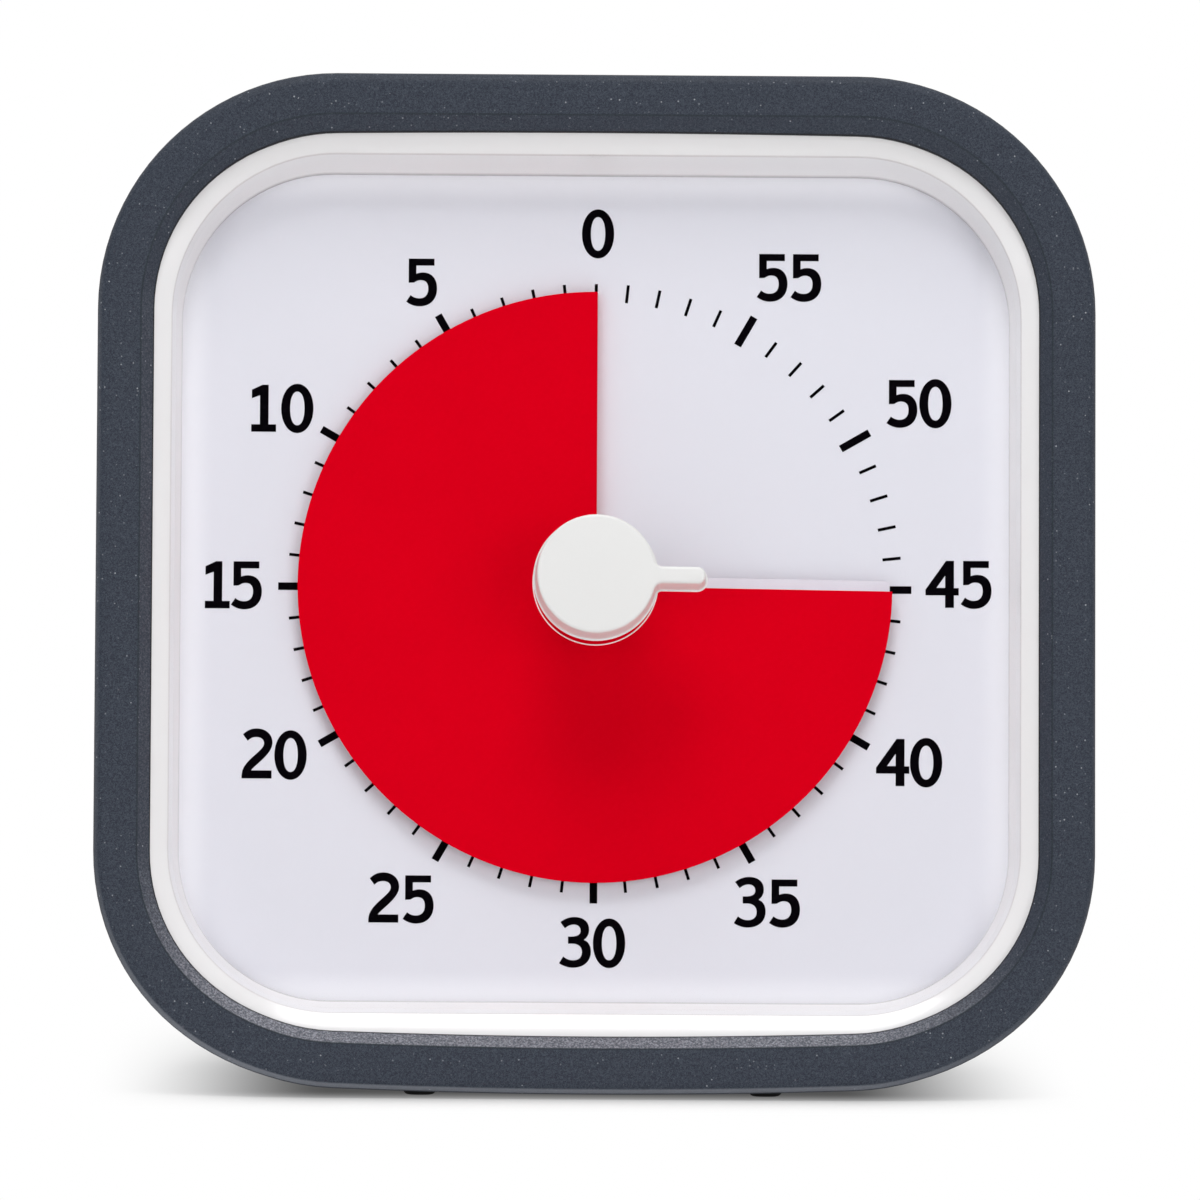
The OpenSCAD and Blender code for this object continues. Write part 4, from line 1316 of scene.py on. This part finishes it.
@dataclass(frozen=True)
class Numeral:
    """One number of the dial.

    Attributes:
        text: Its digits.
        centre: Its centre on the dial, in millimetres.
        gap: Space between its digits, in millimetres.
    """

    text: str
    centre: Point2
    gap: float = 0.2


NUMERALS = (
    Numeral("0", (0.14, 33.03)),
    Numeral("5", (-16.17, 28.38)),
    Numeral("10", (-28.98, 16.55), 0.46),
    Numeral("15", (-33.38, 0.05), 0.11),
    Numeral("20", (-29.50, -15.60), 0.18),
    Numeral("25", (-17.72, -28.85), 0.33),
    Numeral("30", (-0.09, -32.87), 0.18),
    Numeral("35", (16.00, -29.05), 0.32),
    Numeral("40", (29.08, -16.02), 0.06),
    Numeral("45", (33.61, 0.52), 0.18),
    Numeral("50", (29.92, 17.38), 0.18),
    Numeral("55", (17.85, 29.03), 0.28),
)


@dataclass
class DialPrint:
    """The dial's printed ticks and numbers, in millimetres on the face.

    Attributes:
        ink: Thickness of the print.
        minutes: Ticks round the dial.
        long_every: Every so many is a long one.
        long_tick: Inner radius, outer radius and width of a long tick.
        short_tick: The same of a short one.
        glyph_scale: Millimetres to a unit of the digits' outlines.
    """

    ink: float = 0.02
    minutes: int = 60
    long_every: int = 5
    long_tick: tuple[float, float, float] = (26.2, 29.25, 0.705)
    short_tick: tuple[float, float, float] = (26.72, 28.4, 0.28)
    glyph_scale: float = 0.01008

    def ticks(self, shop: Workshop) -> None:
        """Builds the ticks, which start after the slit."""
        bm = bmesh.new()
        for minute in range(1, self.minutes):
            long_one = minute % self.long_every == 0
            low, high, width = self.long_tick if long_one else self.short_tick
            verts = block(bm, (high - low, width, self.ink), ((low + high) / 2, 0, self.ink / 2))
            turn = Matrix.Rotation(math.radians(90 + 360 * minute / self.minutes), 3, "Z")
            bmesh.ops.rotate(bm, cent=(0, 0, 0), matrix=turn, verts=verts)
        shop.piece(bm, "tick_marks", INK, Body.CASE, "dial_card")

    def outline(self, spline: bpy.types.Spline, path: str, shift: float) -> tuple[float, float]:
        """Draws one closed outline of a digit.

        Args:
            spline: An empty Bezier spline.
            path: The outline's moves, without its end mark.
            shift: Distance to the right of the digit's own origin.

        Returns:
            The outline's lowest and highest point.
        """
        anchors: list[list[Vector]] = []
        for mark in path.replace("M", "|M").replace("L", "|L").replace("C", "|C").split("|"):
            numbers = [float(x) for pair in mark[1:].split() for x in pair.split(",")]
            spots = [Vector((x + shift, y, 0)) for x, y in zip(numbers[::2], numbers[1::2])]
            if not spots:
                continue
            if mark[0] == "C":
                anchors[-1][2] = spots[0]
                anchors.append([spots[1], spots[2], spots[2]])
            else:
                anchors.append([spots[0], spots[0], spots[0]])
        if (anchors[0][1] - anchors[-1][1]).length < HAIR:
            anchors[0][0] = anchors[-1][0]
            anchors.pop()
        spline.bezier_points.add(len(anchors) - 1)
        for point, (left, middle, right) in zip(spline.bezier_points, anchors):
            point.handle_left_type = "FREE"
            point.handle_right_type = "FREE"
            point.co = middle * self.glyph_scale
            point.handle_left = left * self.glyph_scale
            point.handle_right = right * self.glyph_scale
        spline.use_cyclic_u = True
        spline.resolution_u = 10
        return (min(a[1].y for a in anchors), max(a[1].y for a in anchors))

    def number_mesh(self, numeral: Numeral) -> bpy.types.Mesh:
        """The filled mesh of one number, centred on its own middle."""
        curve = bpy.data.curves.new("number", "CURVE")
        curve.dimensions = "2D"
        curve.fill_mode = "BOTH"
        curve.extrude = self.ink / 2
        shift = 0.0
        for digit in numeral.text:
            paths = [p for p in GLYPHS[digit].split("Z") if p.strip()]
            for path in paths:
                self.outline(curve.splines.new("BEZIER"), path.strip(), shift)
            spots = paths[0].translate(str.maketrans("MLC", "   ")).split()
            shift += max(float(spot.split(",")[0]) for spot in spots)
            shift += numeral.gap / self.glyph_scale
        holder = add_object("number", curve)
        bpy.context.view_layer.update()
        graph = bpy.context.evaluated_depsgraph_get()
        mesh = bpy.data.meshes.new_from_object(holder.evaluated_get(graph))
        bpy.data.objects.remove(holder)
        xs = [v.co.x for v in mesh.vertices]
        ys = [v.co.y for v in mesh.vertices]
        middle = Vector(((min(xs) + max(xs)) / 2, (min(ys) + max(ys)) / 2, 0))
        spot = Vector((*numeral.centre, self.ink / 2))
        mesh.transform(Matrix.Translation(spot - middle))
        return mesh

    def numbers(self, shop: Workshop) -> None:
        """Builds the numbers."""
        bm = bmesh.new()
        for numeral in NUMERALS:
            mesh = self.number_mesh(numeral)
            bm.from_mesh(mesh)
            bpy.data.meshes.remove(mesh)
        bmesh.ops.remove_doubles(bm, verts=bm.verts, dist=TOUCH)
        bmesh.ops.recalc_face_normals(bm, faces=bm.faces)
        shop.piece(bm, "numbers", INK, Body.CASE, "dial_card")

    def build(self, shop: Workshop) -> None:
        """Builds all the prints."""
        self.ticks(shop)
        self.numbers(shop)


@dataclass
class Disc:
    """The film that fans out of the slit, in millimetres on the face.

    Attributes:
        radius: Its radius.
        inner_r: Radius of its hole.
        low: Height of its underside.
        thick: Its thickness.
        shown: Angle that shows at rest, in degrees.
        lag: How far the leading edge stays behind the mark, in degrees.
        strip: Width of the clear strip.
        under_low: Height of the stretch that stays in the slit.
        rear_z: Height of the stretch behind the dial.
        sunk_share: Share of its height over the anchor that is left when it has all gone in; not
            used.
        anchor_z: Height of a plane whose place sink works out but does not use.
        drop: How much lower its rim lies than its middle.
        edge_x: Places across of the stretch that stands up in the slit.
        edge_foot: Where that stretch starts from the axis, and how deep it goes into the slit.
        strip_from: Where the clear strip starts from the axis.
        strip_short: How far short of the rim it ends.
        strip_round: Rounding of its outer corner.
        tucked_r: Inner radius of the stretches in the slit and behind the dial.
        in_slit: First angle and reach of the stretch in the slit, in degrees.
        behind: The same of the one behind the dial.
        chord: Degrees to a chord of the rim.
    """

    radius: float = 27.45
    inner_r: float = 1.3
    low: float = 1.5
    thick: float = 0.2
    shown: float = 270.0
    lag: float = 0.6
    strip: float = 0.95
    under_low: float = 1.32
    rear_z: float = -1.8
    sunk_share: float = 0.3
    anchor_z: float = -3.1
    drop: float = 0.45
    edge_x: Point2 = (-0.02, 0.12)
    edge_foot: Point2 = (5.7, 0.5)
    strip_from: float = 5.6
    strip_short: float = 0.25
    strip_round: float = 0.45
    tucked_r: float = 5.5
    in_slit: Point2 = (90.6, 92.0)
    behind: Point2 = (0.5, 88.0)
    chord: float = 2.0

    def droop(self, bm: bmesh.types.BMesh) -> None:
        """Lets the film come down a little towards its rim."""
        for vert in bm.verts:
            away = math.hypot(vert.co.x, vert.co.y) - self.inner_r
            vert.co.z -= self.drop * max(0.0, away) / (self.radius - self.inner_r)

    def sector(
        self, bm: bmesh.types.BMesh, inner: float, start: float, angle: float, z: float, t: float
    ) -> None:
        """Adds a flat sector.

        Args:
            bm: The mesh to add to.
            inner: Its inner radius.
            start: Angle of its first edge, in degrees.
            angle: How far it reaches.
            z: Height of its underside.
            t: Its thickness.
        """
        turn = math.radians(start)
        ray = Vector((math.cos(turn), math.sin(turn), 0))
        ends = [bm.verts.new(ray * r + Vector((0, 0, z))) for r in (inner, self.radius)]
        edge = bm.edges.new(ends)
        bmesh.ops.spin(
            bm,
            geom=[*ends, edge],
            cent=(0, 0, 0),
            axis=(0, 0, 1),
            angle=math.radians(angle),
            steps=round(angle / self.chord),
            use_merge=False,
        )
        faces = [f for f in bm.faces if all(abs(v.co.z - z) < HAIR for v in f.verts)]
        made = bmesh.ops.extrude_face_region(bm, geom=faces)["geom"]
        raised = [g for g in made if isinstance(g, bmesh.types.BMVert)]
        bmesh.ops.translate(bm, vec=(0, 0, t), verts=raised)
        bmesh.ops.recalc_face_normals(bm, faces=bm.faces)

    def sink(self, shop: Workshop, piece: bpy.types.Object) -> None:
        """Gives the piece a mesh of its own, and works out the anchor's place without using it."""
        tuple(shop.face.at(0, 0, self.anchor_z))
        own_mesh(piece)

    def build(self, shop: Workshop) -> None:
        """Builds the film's stretches and its clear strip."""
        bm = bmesh.new()
        self.sector(bm, self.inner_r, 90, self.shown - self.lag, self.low, self.thick)
        self.droop(bm)
        film = shop.piece(bm, "red_film", RED, Body.KNOB, "red_film", ["time_disc"])
        self.sink(shop, film)
        self.build_strip(shop)
        self.build_tucked(shop)

    def build_strip(self, shop: Workshop) -> None:
        """Builds the clear strip along the leading edge."""
        bm = bmesh.new()
        first, last = self.strip_from, self.radius - self.strip_short
        middle = ((last + first) / 2, self.strip / 2, self.low + self.thick / 2)
        block(bm, (last - first, self.strip, self.thick), middle)
        corner = [
            edge
            for edge in bm.edges
            if all(vert.co.x > middle[0] and vert.co.y > middle[1] for vert in edge.verts)
        ]
        soften(bm, corner, self.strip_round, 5)
        turn = Matrix.Rotation(math.radians(90 + self.shown - self.lag), 3, "Z")
        bmesh.ops.rotate(bm, cent=(0, 0, 0), matrix=turn, verts=bm.verts)
        self.droop(bm)
        strip = shop.piece(bm, "clear_edge", STRIP, Body.KNOB, "lens_clear")
        self.sink(shop, strip)

    def build_tucked(self, shop: Workshop) -> None:
        """Builds the stretch that lies in the slit and the one behind the dial."""
        bm = bmesh.new()
        self.sector(bm, self.tucked_r, *self.in_slit, self.under_low, self.thick / 2)
        low, high = self.edge_x
        foot, depth = self.edge_foot
        top = self.low + self.thick / 2
        middle = ((low + high) / 2, (self.radius + foot) / 2, (top - depth) / 2)
        block(bm, (high - low, self.radius - foot, top + depth), middle)
        self.droop(bm)
        tuck = shop.piece(bm, "film_in_slit", RED, Body.CASE, "red_film")
        self.sink(shop, tuck)
        bm = bmesh.new()
        self.sector(bm, self.tucked_r, *self.behind, self.rear_z, self.thick)
        shop.piece(bm, "film_behind", RED, Body.KNOB, "red_film")


@dataclass
class Knob:
    """White knob with its pointer, in millimetres on the face.

    Attributes:
        low_z: Height of its underside.
        height: Height of the head.
        head_r: Radius of the head at its foot.
        flare: How much the head narrows towards the top.
        reach: Distance from the axis to the pointer's tip.
        pointer_w: Width of the pointer at its foot.
        fillet: Radius between pointer and head.
        hub_r: Radius of the hub.
        hub_z: Height of the hub's underside.
        top_round: Rounding of the top edge.
        foot_round: Width and height of the thin rim at its foot.
        foot_t: Height at which that rim is widest.
        tip_r: Rounding of the pointer's corners.
        bite: How far the hub reaches into the head.
        tip_steps: Facets of each rounded corner of the pointer.
        head_steps: Facets round the head.
        round_steps: Facets of the top edge.
        hub_steps: Facets round the hub.
        lag: How far the pointer stays behind the mark, in degrees.
    """

    low_z: float = 7.8
    height: float = 4.2
    head_r: float = 5.64
    flare: float = 0.17
    reach: float = 10.12
    pointer_w: float = 1.9
    fillet: float = 0.6
    hub_r: float = 4.3
    hub_z: float = 1.75
    top_round: float = 0.3
    foot_round: float = 0.14
    foot_t: float = 0.08
    tip_r: float = 0.85
    bite: float = 0.3
    tip_steps: int = 6
    head_steps: int = 90
    round_steps: int = 5
    hub_steps: int = 64
    lag: float = 0.7

    def outline(self) -> list[Point2]:
        """The knob's outline at its foot, anticlockwise from the pointer's tip."""
        half = self.pointer_w / 2
        fillet_y = half + self.fillet
        fillet_x = math.sqrt((self.head_r + self.fillet) ** 2 - fillet_y**2)
        away = math.degrees(math.atan2(fillet_y, fillet_x))
        tip = (self.reach - self.tip_r, half - self.tip_r)
        upper = [
            *arc(tip, self.tip_r, 0, 90, self.tip_steps),
            *arc((fillet_x, fillet_y), self.fillet, 270, 180 + away, self.tip_steps),
        ]
        head = arc((0, 0), self.head_r, away, 360 - away, self.head_steps)[1:-1]
        lower = [(x, -y) for x, y in reversed(upper)]
        return upper + head + lower

    def build(self, shop: Workshop) -> None:
        """Builds the knob with its hub."""
        bm = bmesh.new()
        points = self.outline()
        foot = fill_outline(bm, points, self.low_z)
        count = len(points)
        ways = []
        for number, (x, y) in enumerate(points):
            before, after = points[number - 1], points[(number + 1) % count]
            along = Vector((after[0] - before[0], after[1] - before[1], 0)).normalized()
            ways.append(Vector((-along.y, along.x, 0)))
        levels = [
            (-self.foot_round, self.foot_t),
            (0.0, self.foot_round),
            (self.flare, self.height - self.top_round),
        ]
        for step in range(1, self.round_steps + 1):
            turn = math.radians(90 * step / self.round_steps)
            inward = self.flare + self.top_round * (1 - math.cos(turn))
            levels.append((inward, self.height - self.top_round * (1 - math.sin(turn))))
        spots = [Vector((x, y, self.low_z)) for x, y in points]
        rows = []
        for inward, rise in levels:
            lift = Vector((0, 0, rise))
            rows.append([spot + way * inward + lift for spot, way in zip(spots, ways)])
        sweep(bm, foot, rows, closed=False)
        hub = bmesh.ops.create_cone(
            bm,
            cap_ends=True,
            segments=self.hub_steps,
            radius1=self.hub_r,
            radius2=self.hub_r,
            depth=self.low_z + self.bite - self.hub_z,
        )
        middle = (self.low_z + self.bite + self.hub_z) / 2
        bmesh.ops.translate(bm, vec=(0, 0, middle), verts=hub["verts"])
        turn = Matrix.Rotation(-math.radians(self.lag), 3, "Z")
        bmesh.ops.rotate(bm, cent=(0, 0, 0), matrix=turn, verts=bm.verts)
        shop.piece(bm, "pointer_knob", KNOB_WHITE, Body.KNOB, "white_gloss", ["knob"])


@dataclass
class Feet:
    """Four rubber feet, in millimetres in the room.

    Attributes:
        across: Distance of a foot's middle from the centre line.
        rows: Places of the two rows, front to back.
        size: Width, length and height of a foot.
        side_round: Rounding of its upright edges.
        foot_round: Rounding of its lower edges.
    """

    across: float = 15.9
    rows: tuple[float, float] = (-19.571, 8.429)
    size: tuple[float, float, float] = (3.0, 8.0, 3.36)
    side_round: float = 1.2
    foot_round: float = 0.45

    def build(self, shop: Workshop) -> None:
        """Builds the feet."""
        bm = bmesh.new()
        for side in (-1, 1):
            for row in self.rows:
                block(bm, self.size, (side * self.across, row, self.size[2] / 2))
        tall = self.size[2] / 2
        upright = [e for e in bm.edges if abs(e.verts[0].co.z - e.verts[1].co.z) > tall]
        soften(bm, upright, self.side_round, 6)
        low = [e for e in bm.edges if all(v.co.z < TOUCH for v in e.verts)]
        soften(bm, low, self.foot_round, 4)
        shop.piece(
            bm, "rubber_feet", RUBBER, Body.CASE, "foot_rubber", ["feet"], Matrix.Scale(MM, 4)
        )


NODE_FINISHES = {
    "dial": CARD,
    "knob_shaft": STEEL,
    "disc_hub": NATURAL,
    "setting_wheel": NATURAL,
    "friction_washer": STEEL,
    "retaining_ring": STEEL,
    "third_wheel": NATURAL,
    "second_wheel": NATURAL,
    "rotor": MAGNET,
    "stator": STEEL,
    "coil": COPPER,
    "chassis": GREY,
    "movement_cover": DARK,
    "movement_screws": STEEL,
    "rear_case": CASE_WHITE,
    "case_screws": STEEL,
    "battery_door": CASE_WHITE,
    "battery": CELL,
    "plus_contact": STEEL,
    "spring_contact": STEEL,
    "circuit_board": GREEN,
    "board_screws": STEEL,
    "chip": BLACK,
    "crystal": STEEL,
    "buzzer": BLACK,
    "switch_body": BLACK,
    "switch_slider": BLACK,
}


def dress_nodes(nodes: dict[str, bpy.types.Object]) -> None:
    """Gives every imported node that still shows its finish.

    Args:
        nodes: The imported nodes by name.
    """
    for name, node in nodes.items():
        if node.hide_render:
            continue
        finish = NODE_FINISHES[name]
        node.data.materials.clear()
        node.data.materials.append(finish.material())
        LOG.info("%s dressed in %s", name, finish.name)


# ---------------------------------------------------------------- studio


def heading(azimuth: float, elevation: float) -> Vector:
    """The way from the object to a place round it.

    Args:
        azimuth: Degrees round from straight ahead, to the right.
        elevation: Degrees above the horizon.

    Returns:
        A unit vector.
    """
    turn, lift = math.radians(azimuth), math.radians(elevation)
    return Vector(
        (math.sin(turn) * math.cos(lift), -math.cos(turn) * math.cos(lift), math.sin(lift))
    )


@dataclass
class Camera:
    """The view of the picture.

    Attributes:
        azimuth: Degrees round from straight ahead, to the right.
        elevation: Degrees above the horizon.
        distance: Distance from the target, in metres.
        lens: Focal length, in millimetres.
        roll: How far the object leans clockwise in the picture, in degrees.
        aim: The target on the front's plane, in millimetres on the face.
        sees: Nearest and furthest distance that it sees, in metres.
    """

    azimuth: float = -0.8
    elevation: float = 2.5
    distance: float = 1.3
    lens: float = 424.3
    roll: float = 0.4
    aim: tuple[float, float, float] = (0.39, -1.83, 6.4)
    sees: Point2 = (0.05, 200.0)

    def build(self, face: FaceFrame) -> None:
        """Places the camera."""
        target = face.at(*self.aim)
        back = heading(self.azimuth, self.elevation)
        data = bpy.data.cameras.new("camera")
        data.lens = self.lens
        data.clip_start, data.clip_end = self.sees
        made = add_object("camera", data)
        level = (-back).to_track_quat("-Z", "Y").to_matrix().to_4x4()
        spin = Matrix.Rotation(math.radians(self.roll), 4, "Z")
        made.matrix_world = Matrix.Translation(target + back * self.distance) @ level @ spin
        bpy.context.scene.camera = made


@dataclass(frozen=True)
class Lamp:
    """A soft lamp, aimed at the object.

    Attributes:
        name: Its name.
        azimuth: Degrees round from straight ahead, to the right.
        elevation: Degrees above the horizon.
        distance: Distance from the object, in metres.
        size: Width and depth, in metres.
        level: Light that it throws on a surface that faces it; 1 renders white as white.
    """

    name: str
    azimuth: float
    elevation: float
    distance: float
    size: tuple[float, float]
    level: float

    def build(self, target: Vector) -> None:
        """Places the lamp."""
        away = heading(self.azimuth, self.elevation)
        data = bpy.data.lights.new(self.name, "AREA")
        data.shape = "RECTANGLE"
        data.size, data.size_y = self.size
        data.energy = self.level * (math.pi * self.distance) ** 2
        made = add_object(self.name, data)
        made.location = target + away * self.distance
        made.rotation_euler = away.to_track_quat("Z", "Y").to_euler()


@dataclass
class Studio:
    """Floor, world and lamps.

    Attributes:
        ambient: Level of the light from all round.
        mirror_way: Directions, from -1 in front to 1 behind, between which mirrors turn white.
        mirror_dim: Share of the light from all round that mirrors don't show.
        floor_r: Radius of the floor, in metres.
        near_tone: Colour painted on the floor close to the object, as the eye sees it: a painted
            shadow.
        far_tone: Colour of the floor away from it.
        glow: Share of the floor near the object that is plain white to the eye.
        middle: How far the shadow's middle lies to the left, in metres.
        side: Distances across between which the floor turns plain white, in metres.
        front: The same towards the front.
        behind: The same towards the back.
        lamps: The lamps.
    """

    ambient: float = 0.46
    mirror_way: Point2 = (-0.2, 0.4)
    mirror_dim: float = 0.92
    floor_r: float = 6.0
    near_tone: Colour = (0.25, 0.25, 0.25)
    far_tone: Colour = (0.9, 0.9, 0.9)
    glow: float = 0.085
    middle: float = 0.0007
    side: tuple[float, float] = (0.0235, 0.0465)
    front: tuple[float, float] = (0.019, 0.0445)
    behind: tuple[float, float] = (0.0, 0.09)
    lamps: tuple[Lamp, ...] = (
        Lamp("key_softbox", -7, 68, 0.85, (0.46, 0.4), 0.52),
        Lamp("front_fill", 32, 6, 1.6, (0.8, 0.8), 0.19),
        Lamp("front_fill_left", -32, 6, 1.6, (0.8, 0.8), 0.11),
    )

    def seen(self, bench: Bench) -> Wire:
        """1 for what the eye sees straight, in a mirror or through glass."""
        path = bench.node("ShaderNodeLightPath")
        total = bench.wire(path, "Is Camera Ray") + bench.wire(path, "Is Glossy Ray")
        return (total + bench.wire(path, "Is Transmission Ray")).at_most(1.0)

    def build_world(self) -> None:
        """Lights the room evenly, and shows white behind the object."""
        world = bpy.data.worlds.new("room")
        bpy.context.scene.world = world
        world.use_nodes = True
        bench = Bench(world.node_tree)
        path = bench.node("ShaderNodeLightPath")
        way = bench.parts(bench.wire(bench.node("ShaderNodeTexCoord"), "Generated"))[1]
        straight = bench.wire(path, "Is Camera Ray") + bench.wire(path, "Is Transmission Ray")
        mirrored = bench.wire(path, "Is Glossy Ray") * way.rise(*self.mirror_way)
        white = (straight + mirrored).at_most(1.0)
        dim = 1 - bench.wire(path, "Is Glossy Ray") * self.mirror_dim
        level = white + (1 - white) * self.ambient * dim
        shader = bench.node("ShaderNodeBackground", None, {"Color": (1, 1, 1), "Strength": level})
        bench.node("ShaderNodeOutputWorld", None, {"Surface": bench.wire(shader)})

    def build_floor(self) -> None:
        """Lays the floor, with the object's shadow painted on it."""
        bm = bmesh.new()
        bmesh.ops.create_circle(bm, cap_ends=True, segments=96, radius=self.floor_r)
        mesh = bpy.data.meshes.new("floor")
        bm.to_mesh(mesh)
        bm.free()
        floor = add_object("floor", mesh)
        paint = bpy.data.materials.new("floor_paint")
        paint.use_nodes = True
        bench = Bench(paint.node_tree)
        x, y, _ = bench.parts(bench.place())
        inside = 1 - (x + self.middle).size().rise(*self.side)
        inside = inside * (1 - (0 - y).rise(*self.front)) * (1 - y.rise(*self.behind))
        seen = self.seen(bench)
        share = seen * (1 - inside * (1 - self.glow))
        # Painted shadow: close to the object the eye sees the floor in the darker near tone.
        painted_shadow_tone = bench.blend(inside * seen, self.far_tone, self.near_tone)
        diffuse = bench.node("ShaderNodeBsdfDiffuse", None, {"Color": painted_shadow_tone})
        glow = bench.node("ShaderNodeEmission", None, {"Color": (1, 1, 1), "Strength": 1.0})
        values = {0: share, 1: bench.wire(diffuse), 2: bench.wire(glow)}
        mixed = bench.wire(bench.node("ShaderNodeMixShader", None, values))
        bench.node("ShaderNodeOutputMaterial", None, {"Surface": mixed})
        mesh.materials.append(paint)

    def build(self, target: Vector) -> None:
        """Sets up the studio."""
        self.build_world()
        self.build_floor()
        for lamp in self.lamps:
            lamp.build(target)


def main() -> None:
    """Builds the timer piece by piece."""
    logging.basicConfig(level=logging.INFO, format="%(name)s: %(message)s")
    bpy.context.scene.view_settings.view_transform = "Standard"
    shop = Workshop(FACE)
    Camera().build(FACE)
    Studio().build(FACE.at(0, 0, 0))
    for assembly in (Sleeve(), Frame(), DialPrint(), Disc(), Knob(), Feet()):
        assembly.build(shop)
    dress_nodes(frame["nodes"])


if __name__ == "__main__":
    main()
